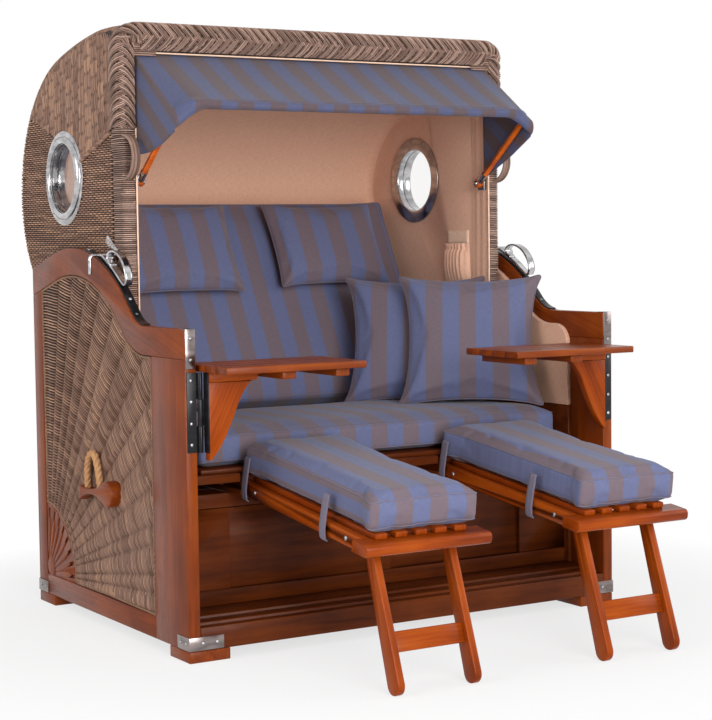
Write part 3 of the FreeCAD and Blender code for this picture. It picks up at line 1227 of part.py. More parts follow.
def footrest_frame(label, side):
    """Side rails, cross bars, slats, nose board and leg bolts of one footrest."""
    top = "foot_rail_height"
    own = "0"
    inner = "footrest_half - foot_rail_thick"
    parts = []
    for name, x, bolt_x in (("near", "-footrest_half", "-footrest_half"),
                            ("far", inner, "leg_outer - leg_thick")):
        rail = box(f"{label}_{name}_rail", x, "nose_lap", "0", "foot_rail_thick",
                   "footrest_length - nose_lap", "foot_rail_height", own)
        bolt = rod(f"{label}_{name}_bolt", bolt_x, "leg_hole", "leg_hole_up", "leg_bolt",
                   "footrest_half - leg_outer + leg_thick", Vector(1, 0, 0), own)
        drill = rod(f"{label}_{name}_drill", bolt_x, "leg_hole", "leg_hole_up", "leg_bolt",
                    "footrest_half - leg_outer + leg_thick", Vector(1, 0, 0), own)
        parts += [cut(f"{label}_{name}_drilled", rail, drill), bolt]
    for name, y, z in (("middle", "footrest_length / 2", f"{top} - bar_width"),
                       ("slat", "slat_length - bar_width", f"{top} - bar_width"),
                       ("rear", "footrest_length - bar_width", "0")):
        parts.append(box(f"{label}_{name}_bar", f"-({inner})", y, z, f"2 * ({inner})",
                         "bar_width", "bar_width", own))
    for name, x in (("near", "-footrest_half - soft_gap - runner_width"), ("far", "footrest_half")):
        parts.append(box(f"{label}_{name}_lug", x, "footrest_length - bar_width", "0",
                         "runner_width + soft_gap", "bar_width", "bar_width", own))
    count = int(d.slat_count)
    for number in range(count):
        share = 2 * number / (count - 1) - 1
        x = f"{share} * ({inner} - slat_width / 2) - slat_width / 2"
        parts.append(box(f"{label}_slat_{number}", x, "0", top, "slat_width", "slat_length", "slat_thick",
                         own))
    nose = box(f"{label}_nose_block", "-nose_half", "nose_lap - nose_depth", f"{top} - nose_thick",
               "2 * nose_half", "nose_depth", "nose_thick", own)
    doc.recompute()
    parts.append(rounded_nose(label, nose))
    frame = group(label, parts)
    frame.Placement = footrest_placement(side)
    return keep(frame)


def rounded_nose(label, nose):
    """The nose board with its front edges rounded."""
    rounding = doc.addObject("Part::Fillet", f"{label}_nose")
    rounding.Base = nose
    front = min(vertex.Point.y for vertex in nose.Shape.Vertexes)
    chosen = []
    for number, edge in enumerate(nose.Shape.Edges, start=1):
        ends = [vertex.Point for vertex in edge.Vertexes]
        if all(abs(p.y - front) < 1e-6 for p in ends) and abs(ends[0].x - ends[1].x) > 1:
            chosen.append((number, d.nose_round, d.nose_round))
    rounding.Edges = chosen
    return rounding


def leg_frame(label, side):
    """Two legs with round ends and a rung between them."""
    pivot = leg_pivot()
    toe = toe_centre()
    away = math.degrees(math.atan2(toe[1] - pivot[1], toe[0] - pivot[0]))
    span = math.dist(pivot, toe)
    flare = math.degrees(math.acos((d.leg_toe - d.leg_top) / span))
    top_ends = [polar(pivot, d.leg_top, away + 180 - flare), polar(pivot, d.leg_top, away + 180 + flare)]
    toe_ends = [polar(toe, d.leg_toe, away + 180 - flare), polar(toe, d.leg_toe, away + 180 + flare)]
    edges = [bend(top_ends[0], polar(pivot, d.leg_top, away + 180), top_ends[1]),
             line(top_ends[1], toe_ends[1]),
             bend(toe_ends[1], polar(toe, d.leg_toe, away), toe_ends[0]),
             line(toe_ends[0], top_ends[0])]
    pieces = []
    for name, x in (("near", f"{side} * footrest_x - leg_outer"),
                    ("far", f"{side} * footrest_x + leg_outer - leg_thick")):
        blank = plate(f"{label}_{name}_blank", edges, "leg_thick", x)
        drill = rod(f"{label}_{name}_drill", x, str(round(pivot[0], 4)), str(round(pivot[1], 4)),
                    "leg_bolt + run_gap", "leg_thick", Vector(1, 0, 0))
        pieces.append(cut(f"{label}_{name}_leg", blank, drill))
    low = polar(toe, d.rung_up, away + 180)
    high = polar(toe, d.rung_up + d.rung_height, away + 180)
    half = d.rung_thick / 2
    rung_edges = outline([polar(low, half, away + 90), polar(high, half, away + 90),
                          polar(high, half, away - 90), polar(low, half, away - 90)])
    pieces.append(plate(f"{label}_rung", rung_edges, "2 * (leg_outer - leg_thick)",
                        f"{side} * footrest_x - leg_outer + leg_thick"))
    return keep(group(label, pieces))


def footrests():
    """Both footrests with their cushions and folding legs."""
    for name, side in (("right", 1), ("left", -1)):
        footrest_frame(f"{name}_footrest_frame", side)
        leg_frame(f"{name}_leg_frame", side)
        pad = cushion(2 * d.footrest_half, d.foot_cushion_length, d.foot_cushion_thick, d.foot_crown)
        height = d.foot_rail_height + d.slat_thick + d.soft_gap
        lift = FreeCAD.Placement(Vector(0, d.foot_cushion_start, height), FreeCAD.Rotation())
        keep(shaped(f"{name}_foot_cushion", pad, footrest_placement(side) * lift))


def check_and_write():
    """Stop at a failed object, then write each node's file."""
    doc.recompute()
    for item in doc.Objects:
        if "Invalid" in item.State or "Error" in item.State:
            raise RuntimeError(f"{item.Label} failed: {item.State}")
    for node in nodes:
        if node.Shape.isNull() or not node.Shape.isValid():
            raise RuntimeError(f"{node.Label} has no valid shape")
    os.makedirs("parts", exist_ok=True)
    for node in nodes:
        node.Shape.exportStep(f"parts/{node.Label}.step")
    print(f"{len(nodes)} nodes written")


def main():
    """Build the chair from the base up."""
    side_frames()
    rope_cleats()
    rope_loops()
    cheeks()
    latch_strips()
    pivot_hardware()
    feet_and_irons()
    lower_front()
    seat_base()
    seat_softs()
    hood_shell()
    hood_rim()
    hood_frame()
    hood_softs()
    portholes()
    grab_loops()
    awning()
    latches()
    tables()
    footrests()
    check_and_write()


main()
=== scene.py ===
"""Looks of a hooded two-seat beach chair: woven hood, striped cushions, hardwood, bright fittings."""
import json
import logging
import math
from dataclasses import dataclass
from enum import Enum
from typing import Callable, Sequence

import bmesh
import bpy
import numpy as np
from mathutils import Matrix, Vector

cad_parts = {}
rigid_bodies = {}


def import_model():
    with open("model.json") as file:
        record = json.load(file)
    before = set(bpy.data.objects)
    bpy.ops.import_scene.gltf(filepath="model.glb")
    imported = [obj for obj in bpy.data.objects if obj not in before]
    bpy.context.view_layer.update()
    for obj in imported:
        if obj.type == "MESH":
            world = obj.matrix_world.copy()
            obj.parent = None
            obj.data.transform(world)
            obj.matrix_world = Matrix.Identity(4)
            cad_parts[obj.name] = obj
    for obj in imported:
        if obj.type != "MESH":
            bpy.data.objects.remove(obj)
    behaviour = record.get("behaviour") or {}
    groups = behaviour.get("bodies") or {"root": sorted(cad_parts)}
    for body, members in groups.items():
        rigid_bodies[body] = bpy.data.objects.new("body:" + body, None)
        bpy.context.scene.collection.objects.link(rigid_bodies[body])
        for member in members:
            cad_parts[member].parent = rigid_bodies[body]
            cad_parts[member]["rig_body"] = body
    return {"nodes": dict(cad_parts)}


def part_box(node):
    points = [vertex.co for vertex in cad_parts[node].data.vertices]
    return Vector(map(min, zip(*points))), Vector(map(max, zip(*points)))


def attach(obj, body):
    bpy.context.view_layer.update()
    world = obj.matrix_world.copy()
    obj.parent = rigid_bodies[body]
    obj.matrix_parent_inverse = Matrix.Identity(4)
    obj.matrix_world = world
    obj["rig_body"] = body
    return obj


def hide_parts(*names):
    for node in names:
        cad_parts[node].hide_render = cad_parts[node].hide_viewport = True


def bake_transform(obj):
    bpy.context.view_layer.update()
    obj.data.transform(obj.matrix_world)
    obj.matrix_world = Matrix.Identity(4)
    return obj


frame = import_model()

LOG = logging.getLogger("beach_chair")
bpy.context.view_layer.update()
MM = 0.001
SIDES = (("left", -1), ("right", 1))
# Places that several pieces share, in the drawing's millimetres and in degrees
FRONT_Y = -311.6515
HOOD_PIVOT = (720.0, 520.0)
ARCH_RADIUS = 541.0
ARM_HEIGHT = 855.0
KNEE_Y, KNEE_Z, KNEE_RADIUS, KNEE_SHARE = 236.3, 985.0, 130.0, 0.7209
BOW_PIVOT = (500.0, 1243.0)
BOW_HALF = 574.0
PORTHOLE = (890.0, 1265.0)
FOOTREST = (314.5, -505.0, 330.0)
FOOT_SLOPE = 7.0
POST_X = 674.0
# Sine, cosine and fall of the straight tail behind the arch
TAIL_SINE, TAIL_COSINE, TAIL_FALL = 0.2588, 0.9659, 0.268
Colour = tuple[float, float, float, float]
Points = Sequence[Sequence[float]]
Mapping = Callable[[np.ndarray], np.ndarray]


class Body(Enum):
    """Bodies that the pieces ride on."""

    BASE = "base"
    HOOD = "hood"
    AWNING = "awning"


class Slot(Enum):
    """Material slots of the record that the pieces name."""

    WOOD = "wood"
    WICKER = "wicker"
    BRAID = "braid"
    STRIPED = "striped_cloth"
    LINING = "lining_cloth"
    CHROME = "chrome"
    STEEL = "steel"
    IRON = "black_iron"
    ROPE = "rope"


def tone(red: int, green: int, blue: int) -> Colour:
    """Linear colour of a tone written in the usual 0 to 255 steps.

    Args:
        red: Red share.
        green: Green share.
        blue: Blue share.

    Returns:
        Linear red, green, blue and a full alpha.
    """
    steps = [value / 255 for value in (red, green, blue)]
    linear = [s / 12.92 if s <= 0.04045 else ((s + 0.055) / 1.055) ** 2.4 for s in steps]
    return linear[0], linear[1], linear[2], 1.0


def tones(*steps: tuple[int, int, int]) -> tuple[Colour, ...]:
    """Linear colours of several tones."""
    return tuple(tone(*step) for step in steps)


def place(points: Points | np.ndarray) -> np.ndarray:
    """Move points from the drawing's millimetres to the model's metres.

    Args:
        points: Rows of width, depth behind the posts' front, and height.

    Returns:
        The same points in the model's frame.
    """
    return (np.asarray(points, float) + (0, FRONT_Y, 0)) * MM


class Wiring:
    """Adds shader nodes to a tree and joins them."""

    def __init__(self, tree: bpy.types.NodeTree) -> None:
        """Start from an empty tree."""
        self.tree = tree
        tree.nodes.clear()

    def put(self, socket: bpy.types.NodeSocket, value: object) -> None:
        """Join a socket to another one, or set its value."""
        if isinstance(value, bpy.types.NodeSocket):
            self.tree.links.new(value, socket)
        else:
            socket.default_value = value

    def add(self, kind: str, inputs: dict | None = None, **settings: object) -> bpy.types.Node:
        """Add a node.

        Args:
            kind: The node's type.
            inputs: Values or sockets for its inputs, by name or number.
            **settings: Properties of the node.

        Returns:
            The node.
        """
        node = self.tree.nodes.new(kind)
        for key, value in settings.items():
            setattr(node, key, value)
        self.feed(node, inputs or {})
        return node

    def feed(self, node: bpy.types.Node, inputs: dict) -> None:
        """Join or set several inputs of a node."""
        for key, value in inputs.items():
            self.put(node.inputs[key], value)

    def maths(self, operation: str, *values: object) -> bpy.types.NodeSocket:
        """The result of a Math node."""
        return self.add("ShaderNodeMath", dict(enumerate(values)), operation=operation).outputs[0]

    def times(self, first: object, second: object) -> bpy.types.NodeSocket:
        """A product."""
        return self.maths("MULTIPLY", first, second)

    def plus(self, first: object, second: object) -> bpy.types.NodeSocket:
        """A sum."""
        return self.maths("ADD", first, second)

    def between(self, value: object, low: float, high: float) -> bpy.types.NodeSocket:
        """A smooth step from 0 at low to 1 at high."""
        inputs = {"Value": value, "From Min": low, "From Max": high}
        return self.add("ShaderNodeMapRange", inputs, interpolation_type="SMOOTHSTEP").outputs[0]

    def stretch(self, vector: bpy.types.NodeSocket, scale: Points) -> bpy.types.NodeSocket:
        """A vector with each axis scaled."""
        return self.add("ShaderNodeVectorMath", {0: vector, 1: scale}, operation="MULTIPLY").outputs[0]

    def noise(self, vector: bpy.types.NodeSocket, scale: float, detail: float = 3.0,
              rough: float = 0.5) -> bpy.types.NodeSocket:
        """A smooth noise from 0 to 1."""
        inputs = {"Vector": vector, "Scale": scale, "Detail": detail, "Roughness": rough}
        return self.add("ShaderNodeTexNoise", inputs).outputs[0]

    def blend(self, share: object, first: object, second: object, kind: str = "MIX") -> bpy.types.NodeSocket:
        """Two colours mixed by a share."""
        node = self.add("ShaderNodeMix", {0: share, 6: first, 7: second}, data_type="RGBA", blend_type=kind)
        return node.outputs[2]

    def ramp(self, value: object, stops: Sequence[tuple[float, Colour]]) -> bpy.types.NodeSocket:
        """A colour picked from stops along 0 to 1."""
        node = self.add("ShaderNodeValToRGB", {0: value})
        while len(node.color_ramp.elements) < len(stops):
            node.color_ramp.elements.new(1.0)
        for element, (where, colour) in zip(node.color_ramp.elements, stops):
            element.position = where
            element.color = colour
        return node.outputs[0]

    def bump(self, height: object, strength: float, distance: float) -> bpy.types.NodeSocket:
        """A normal raised by a height."""
        inputs = {"Height": height, "Strength": strength, "Distance": distance}
        return self.add("ShaderNodeBump", inputs).outputs[0]

    def named(self, attribute: str) -> bpy.types.NodeSocket:
        """The vector that a mesh keeps under a name."""
        return self.add("ShaderNodeAttribute", attribute_name=attribute).outputs["Vector"]

    def own_place(self) -> bpy.types.NodeSocket:
        """The object's own coordinates."""
        return self.add("ShaderNodeTexCoord").outputs["Object"]

    def split(self, vector: bpy.types.NodeSocket) -> list[bpy.types.NodeSocket]:
        """The three parts of a vector."""
        return list(self.add("ShaderNodeSeparateXYZ", {0: vector}).outputs)

    def join(self, *parts: object) -> bpy.types.NodeSocket:
        """A vector made of three parts."""
        return self.add("ShaderNodeCombineXYZ", dict(enumerate(parts))).outputs[0]


def shared_group(name: str, inputs: Sequence[tuple[str, str]], outputs: Sequence[str],
                 build: Callable[[Wiring, dict], dict]) -> bpy.types.NodeTree:
    """A shader effect that several finishes use, built once.

    Args:
        name: The group's name.
        inputs: Names and kinds of the inputs.
        outputs: Names of the outputs, all plain values.
        build: Wires the effect from the input sockets and returns the output sockets.

    Returns:
        The node group.
    """
    group = bpy.data.node_groups.get(name)
    if group:
        return group
    group = bpy.data.node_groups.new(name, "ShaderNodeTree")
    for label, kind in inputs:
        group.interface.new_socket(label, in_out="INPUT", socket_type=kind)
    for label in outputs:
        group.interface.new_socket(label, in_out="OUTPUT", socket_type="NodeSocketFloat")
    wiring = Wiring(group)
    entry = wiring.add("NodeGroupInput")
    results = build(wiring, {label: entry.outputs[label] for label, _ in inputs})
    leave = wiring.add("NodeGroupOutput")
    for label, socket in results.items():
        wiring.put(leave.inputs[label], socket)
    return group


def wire_grain(w: Wiring, given: dict) -> dict:
    """Long streaks of figure, fine pores and slow drifts along the first axis of the given vector."""
    along = given["Vector"]
    streaks = w.noise(w.stretch(along, (2.2, 34, 34)), 1.0, 5.0, 0.62)
    bands = {"Vector": w.stretch(along, (1.1, 9, 9)), "Scale": 3.2, "Distortion": 7.0, "Detail": 3.0,
             "Detail Scale": 1.4}
    rings = w.add("ShaderNodeTexWave", bands, bands_direction="Y").outputs[1]
    drift = w.noise(along, 5.0, 2.0)
    figure = w.plus(w.times(streaks, 0.66), w.times(rings, 0.07))
    figure = w.plus(figure, w.times(w.maths("SUBTRACT", drift, 0.5), 0.5))
    pores = w.noise(w.stretch(along, (28, 620, 620)), 1.0, 2.0)
    return {"Figure": figure, "Pores": w.between(pores, 0.56, 0.72)}


def wire_strand(w: Wiring, given: dict) -> dict:
    """A random tone for each stretch of each strand, with slow changes along it."""
    along, row, _ = w.split(given["Vector"])
    whole = w.maths("ROUND", row)
    start = w.add("ShaderNodeTexWhiteNoise", {"W": whole}, noise_dimensions="1D").outputs[0]
    stretch = w.maths("FLOOR", w.plus(w.times(along, 8.0), w.times(start, 9.0)))
    pick = w.add("ShaderNodeTexWhiteNoise", {"Vector": w.join(whole, stretch, 0.0)},
                 noise_dimensions="2D").outputs[0]
    slow = w.noise(w.join(w.times(along, 26.0), w.times(whole, 0.31), 0.0), 1.0, 2.0)
    ribs = w.noise(w.join(w.times(along, 40.0), w.times(row, 9.0), 0.0), 1.0, 2.0)
    mixed = w.plus(w.times(pick, 0.68), w.times(slow, 0.32))
    return {"Tone": mixed, "Ribs": ribs}


def wire_cloth(w: Wiring, given: dict) -> dict:
    """A plain weave's threads and the slight unevenness of its yarn."""
    across, along, _ = w.split(given["Vector"])
    waves = []
    for part, other in ((across, along), (along, across)):
        turn = w.times(part, 3900.0)
        flip = w.times(w.maths("SINE", w.times(other, 1950.0)), 0.5)
        waves.append(w.times(w.maths("SINE", turn), w.plus(flip, 0.8)))
    slub = w.noise(w.stretch(given["Vector"], (900, 60, 200)), 1.0, 2.0)
    blur = w.noise(w.stretch(given["Vector"], (60, 900, 200)), 1.0, 2.0)
    yarn = w.plus(w.times(slub, 0.5), w.times(blur, 0.5))
    return {"Threads": w.plus(waves[0], waves[1]), "Yarn": yarn}


def wire_stripes(w: Wiring, given: dict) -> dict:
    """One for every second stripe of the given width."""
    pair = w.maths("DIVIDE", given["Across"], w.times(given["Width"], 2.0))
    return {"Stripe": w.maths("LESS_THAN", w.maths("FRACT", pair), 0.5)}


VECTOR_IN = (("Vector", "NodeSocketVector"),)
STRIPE_IN = (("Across", "NodeSocketFloat"), ("Width", "NodeSocketFloat"))


class Finish:
    """A surface finish that makes its material once."""

    name: str

    def material(self) -> bpy.types.Material:
        """The finish's material."""
        found = bpy.data.materials.get(self.name)
        if found:
            return found
        made = bpy.data.materials.new(self.name)
        made.use_nodes = True
        wiring = Wiring(made.node_tree)
        shader = wiring.add("ShaderNodeBsdfPrincipled")
        end = wiring.add("ShaderNodeOutputMaterial")
        wiring.put(end.inputs["Surface"], shader.outputs[0])
        self.wire(wiring, shader)
        return made

    def wire(self, w: Wiring, shader: bpy.types.Node) -> None:
        """Wire the finish's colour, gloss and relief into the shader."""
        raise NotImplementedError


@dataclass(frozen=True)
class Hardwood(Finish):
    """Oiled and varnished red-brown hardwood with its grain along each board."""

    name: str
    dark: Colour
    middle: Colour
    light: Colour
    gloss: float = 0.3
    shine: float = 0.13

    def wire(self, w: Wiring, shader: bpy.types.Node) -> None:
        """Figure into colour, pores into colour, gloss and relief."""
        group = shared_group("wood grain", VECTOR_IN, ("Figure", "Pores"), wire_grain)
        grain = w.add("ShaderNodeGroup", {"Vector": w.named("grain")}, node_tree=group).outputs
        figure, pores = grain["Figure"], grain["Pores"]
        stops = ((0.2, self.dark), (0.36, self.middle), (0.54, self.light), (0.8, self.middle))
        shade = w.blend(w.times(pores, 0.4), w.ramp(figure, stops), self.dark)
        height = w.maths("SUBTRACT", w.times(figure, 0.4), pores)
        w.feed(shader, {"Base Color": shade, "Roughness": w.plus(self.gloss, w.times(pores, 0.2)),
                        "Specular IOR Level": self.shine, "Coat Weight": 0.08, "Coat Roughness": 0.16,
                        "Normal": w.bump(height, 0.25, 0.0006)})


@dataclass(frozen=True)
class Cane(Finish):
    """Half-round woven strands in mixed weathered tones, with painted shade at their edges."""

    name: str
    tones: tuple[Colour, ...]
    # Painted shade: the dark colour that each strand's edges blend towards, standing for the shade between
    # strands; rib streaks also darken towards it.
    gap: Colour
    rough: float = 0.5

    def wire(self, w: Wiring, shader: bpy.types.Node) -> None:
        """A tone for each strand, with painted shade towards its edges and from its patch share, and fine
        ribs.
        """
        group = shared_group("strand tones", VECTOR_IN, ("Tone", "Ribs"), wire_strand)
        weave = w.named("weave")
        strand = w.add("ShaderNodeGroup", {"Vector": weave}, node_tree=group).outputs
        pick = w.plus(strand["Tone"], w.times(w.split(w.named("patch"))[0], 0.5))
        last = len(self.tones) - 1
        stops = [(0.12 + 0.76 * i / last, colour) for i, colour in enumerate(self.tones)]
        # Painted shade: the strand's edges, marked in the weave's third part, are blended towards the dark
        # gap colour.
        colour = w.blend(w.times(w.split(weave)[2], 0.94), w.ramp(pick, stops), self.gap)
        streak = w.times(w.maths("SUBTRACT", strand["Ribs"], 0.35), 0.45)
        w.feed(shader, {"Base Color": w.blend(streak, colour, self.gap), "Specular IOR Level": 0.25,
                        "Roughness": w.plus(self.rough - 0.1, w.times(pick, 0.2)),
                        "Normal": w.bump(strand["Ribs"], 0.35, 0.0008)})


@dataclass(frozen=True)
class CaneShade(Finish):
    """Painted shade: a dark sheet under the weave that stands for the shade seen between the strands."""

    name: str
    dark: Colour
    light: Colour

    def wire(self, w: Wiring, shader: bpy.types.Node) -> None:
        """Uneven dark brown painted shade with a faint trace of strands."""
        cloud = w.noise(w.stretch(w.own_place(), (60, 60, 220)), 1.0, 4.0, 0.6)
        w.feed(shader, {"Base Color": w.ramp(cloud, ((0.35, self.dark), (0.7, self.light))),
                        "Roughness": w.plus(0.6, w.times(cloud, 0.3)), "Normal": w.bump(cloud, 0.5, 0.002)})


class Weave(Enum):
    """How a cloth is coloured."""

    STRIPED = "striped"
    PLAIN = "plain"


@dataclass(frozen=True)
class Cloth(Finish):
    """Woven outdoor cloth, plain or in two even stripes."""

    name: str
    first: Colour
    second: Colour
    weave: Weave = Weave.STRIPED
    stripe: float = 0.05
    rough: float = 0.85

    def wire(self, w: Wiring, shader: bpy.types.Node) -> None:
        """Stripes, uneven yarn and threads on the cloth's own coordinates."""
        group = shared_group("cloth threads", VECTOR_IN, ("Threads", "Yarn"), wire_cloth)
        vector = w.named("cloth")
        threads = w.add("ShaderNodeGroup", {"Vector": vector}, node_tree=group).outputs
        if self.weave is Weave.STRIPED:
            lines = shared_group("even stripes", STRIPE_IN, ("Stripe",), wire_stripes)
            inputs = {"Across": w.split(vector)[0], "Width": self.stripe}
            share = w.add("ShaderNodeGroup", inputs, node_tree=lines).outputs["Stripe"]
        else:
            share = w.times(threads["Yarn"], 0.6)
        yarn = w.ramp(threads["Yarn"], ((0.3, (0.8, 0.8, 0.8, 1)), (0.7, (1.16, 1.16, 1.16, 1))))
        colour = w.blend(1.0, w.blend(share, self.first, self.second), yarn, "MULTIPLY")
        w.feed(shader, {"Base Color": colour, "Sheen Weight": 0.12, "Sheen Roughness": 0.5,
                        "Roughness": w.maths("SUBTRACT", self.rough, w.times(threads["Yarn"], 0.1)),
                        "Normal": w.bump(threads["Threads"], 0.22, 0.0004)})


@dataclass(frozen=True)
class Metal(Finish):
    """Polished or painted metal with faint smears and painted reflections."""

    name: str
    colour: Colour
    rough: float
    metallic: float = 1.0
    smear: float = 0.12
    gloss: float = 0.5

    def wire(self, w: Wiring, shader: bpy.types.Node) -> None:
        """Smears in the gloss, and painted reflections as dark and bright patches in the colour."""
        vector = w.own_place()
        smears_and_reflections = w.noise(w.stretch(vector, (9, 9, 26)), 1.0, 2.0)
        # Painted reflection: the colour is darkened and brightened in patches along this noise, standing for
        # dark and bright surroundings mirrored in the metal; the same noise also sets real smears in the
        # gloss.
        dull, bright = (tuple(share * part for part in self.colour[:3]) + (1.0,) for share in (0.62, 1.12))
        stops = ((0.32, self.colour), (0.48, dull), (0.66, bright))
        w.feed(shader, {"Base Color": w.ramp(smears_and_reflections, stops), "Metallic": self.metallic,
                        "Specular IOR Level": self.gloss,
                        "Roughness": w.plus(self.rough, w.times(smears_and_reflections, self.smear)),
                        "Normal": w.bump(w.noise(vector, 18.0, 2.0), 0.04, 0.002)})


@dataclass(frozen=True)
class Glass(Finish):
    """Clear pane with a little dust."""

    name: str

    def wire(self, w: Wiring, shader: bpy.types.Node) -> None:
        """Clear glass with roughness from dust."""
        dust = w.noise(w.own_place(), 30.0, 4.0, 0.6)
        w.feed(shader, {"Base Color": (0.97, 0.98, 0.98, 1), "Transmission Weight": 1.0, "IOR": 1.3,
                        "Roughness": w.times(dust, 0.04)})


@dataclass(frozen=True)
class Hemp(Finish):
    """Natural rope fibre along the rope's strands."""

    name: str
    light: Colour
    dark: Colour

    def wire(self, w: Wiring, shader: bpy.types.Node) -> None:
        """Fine fibres along each strand."""
        along, row, edge = w.split(w.named("weave"))
        fibres = w.noise(w.join(w.times(along, 60.0), w.times(row, 3.0), w.times(edge, 30.0)), 1.0, 4.0, 0.65)
        w.feed(shader, {"Base Color": w.ramp(fibres, ((0.25, self.dark), (0.6, self.light))),
                        "Roughness": w.plus(0.75, w.times(fibres, 0.2)),
                        "Normal": w.bump(fibres, 0.6, 0.0012)})


MAHOGANY = Hardwood("varnished hardwood", tone(94, 38, 9), tone(118, 50, 12), tone(136, 63, 16))
# Painted shade: a darker copy of the varnished hardwood for the inner pieces under the seat and inside the
# hood, which sit in shade.
MAHOGANY_SHADED = Hardwood("shaded hardwood", tone(60, 25, 9), tone(84, 36, 11), tone(100, 46, 15), 0.36, 0.06)
STRAND_TONES = tones((122, 88, 70), (148, 112, 94), (162, 125, 106), (175, 137, 116), (204, 160, 130))
PLAIT_TONES = tones((100, 76, 65), (130, 102, 90), (156, 126, 112), (190, 158, 142))
WICKER = Cane("woven strands", STRAND_TONES, tone(30, 17, 11))
BRAID = Cane("plaited strands", PLAIT_TONES, tone(24, 14, 10))
# Painted shade: dark colour for the shells under the weave, standing for the shade between strands.
WEAVE_SHADE = CaneShade("painted weave shade", tone(28, 17, 12), tone(62, 42, 32))
EDGE_CANE = Cane("edging strand", tones((124, 92, 72), (164, 126, 100)), tone(62, 42, 30))
STRIPES = Cloth("striped cloth", tone(102, 87, 96), tone(89, 95, 130))
STRAP_CLOTH = Cloth("strap cloth", tone(98, 90, 106), tone(118, 110, 128), Weave.PLAIN)
# Painted shade: a darker copy of the striped cloth for the awning, which is the same fabric but takes more
# light from above.
SHADED_AWNING_CLOTH = Cloth("awning cloth with painted shade", tone(83, 67, 72), tone(72, 76, 108))
LINING = Cloth("lining cloth", tone(223, 174, 146), tone(232, 186, 160), Weave.PLAIN)
CHEEK_CLOTH = Cloth("cheek cloth", tone(206, 158, 130), tone(218, 172, 146), Weave.PLAIN)
PIPING = Cloth("piping cloth", tone(238, 200, 172), tone(246, 212, 188), Weave.PLAIN)
CHROME = Metal("bright plated metal", (0.56, 0.55, 0.56, 1), 0.1)
WORN_PLATE = Metal("worn plated metal", (0.3, 0.25, 0.24, 1), 0.14)
STEEL = Metal("dull steel", (0.42, 0.42, 0.44, 1), 0.3)
IRON = Metal("black enamelled iron", (0.012, 0.012, 0.014, 1), 0.2, 0.0, gloss=0.22)
GOLDEN = Hardwood("golden hardwood", tone(110, 42, 7), tone(139, 57, 9), tone(157, 71, 14), 0.28, 0.08)
BOW_WOOD = Hardwood("orange bow wood", tone(140, 58, 8), tone(182, 80, 12), tone(204, 100, 22), 0.34, 0.25)
PANE = Glass("clear pane")
ROPE = Hemp("hemp rope", tone(206, 156, 108), tone(132, 86, 50))


def new_object(name: str, mesh: bpy.types.Mesh, finish: Finish) -> bpy.types.Object:
    """Put a mesh into the scene with its finish.

    Args:
        name: The piece's name.
        mesh: The piece's mesh, in place.
        finish: The piece's finish.

    Returns:
        The new object, at the origin.
    """
    piece = add_object(name, mesh)
    mesh.materials.clear()
    mesh.materials.append(finish.material())
    return piece


def add_object(name: str, data: bpy.types.ID) -> bpy.types.Object:
    """Put a mesh, a curve, a lamp or a camera into the scene."""
    made = bpy.data.objects.new(name, data)
    bpy.context.scene.collection.objects.link(made)
    return made


def plain_mesh(bm: bmesh.types.BMesh, name: str) -> bpy.types.Mesh:
    """Turn a bmesh into a mesh."""
    mesh = bpy.data.meshes.new(name)
    bm.to_mesh(mesh)
    bm.free()
    return mesh


def close_bmesh(bm: bmesh.types.BMesh, name: str, sharp: float = 40.0) -> bpy.types.Mesh:
    """Turn a bmesh into a smoothly shaded mesh with sharp creases kept."""
    mesh = plain_mesh(bm, name)
    smooth(mesh, sharp)
    return mesh


def baked(carrier: bpy.types.Object) -> bpy.types.Mesh:
    """The mesh of a curve or of an object with modifiers, which is then removed."""
    mesh = bpy.data.meshes.new_from_object(carrier.evaluated_get(bpy.context.evaluated_depsgraph_get()))
    bpy.data.objects.remove(carrier)
    return mesh


def thicken(piece: bpy.types.Object, thick: float, offset: float) -> None:
    """Give a sheet its thickness in metres, to both sides at 0 or inward at -1."""
    body = piece.modifiers.new("thickness", "SOLIDIFY")
    body.thickness = thick
    body.offset = offset


def smooth(mesh: bpy.types.Mesh, sharp: float = 40.0) -> None:
    """Shade a mesh smoothly except over sharp creases."""
    mesh.polygons.foreach_set("use_smooth", np.ones(len(mesh.polygons), dtype=bool))
    mesh.set_sharp_from_angle(angle=math.radians(sharp))


def mount(piece: bpy.types.Object, body: str, slot: Slot, *nodes: str) -> bpy.types.Object:
    """Let a piece ride on a body, and hide and name the nodes that it stands for.

    Args:
        piece: The finished piece.
        body: Name of the body.
        slot: Not used.
        *nodes: CAD nodes that it replaces.

    Returns:
        The piece.
    """
    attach(piece, body)
    if nodes:
        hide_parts(*nodes)
    LOG.info("%s on %s for %s", piece.name, body, ", ".join(nodes) or "its looks")
    return piece


def vectors(mesh: bpy.types.Mesh, name: str, values: np.ndarray, domain: str = "POINT") -> None:
    """Keep a vector for each point or corner of a mesh under a name."""
    layer = mesh.attributes.new(name, "FLOAT_VECTOR", domain)
    layer.data.foreach_set("vector", np.asarray(values, np.float32).ravel())


def lay_cloth(mesh: bpy.types.Mesh, across: np.ndarray, along: np.ndarray) -> None:
    """Keep the cloth's coordinates at each point."""
    vectors(mesh, "cloth", np.stack([across, along, 0 * across], 1))


def points_of(mesh: bpy.types.Mesh) -> np.ndarray:
    """The mesh's points as rows."""
    flat = np.zeros(len(mesh.vertices) * 3)
    mesh.vertices.foreach_get("co", flat)
    return flat.reshape(-1, 3)


def move_points(mesh: bpy.types.Mesh, points: np.ndarray) -> None:
    """Set the mesh's points from rows."""
    mesh.vertices.foreach_set("co", np.asarray(points, float).ravel())
    mesh.update()


def lengths_along(points: np.ndarray) -> np.ndarray:
    """Length of a path up to each of its points."""
    return np.concatenate([[0], np.cumsum(np.linalg.norm(np.diff(points, axis=0), axis=1))])


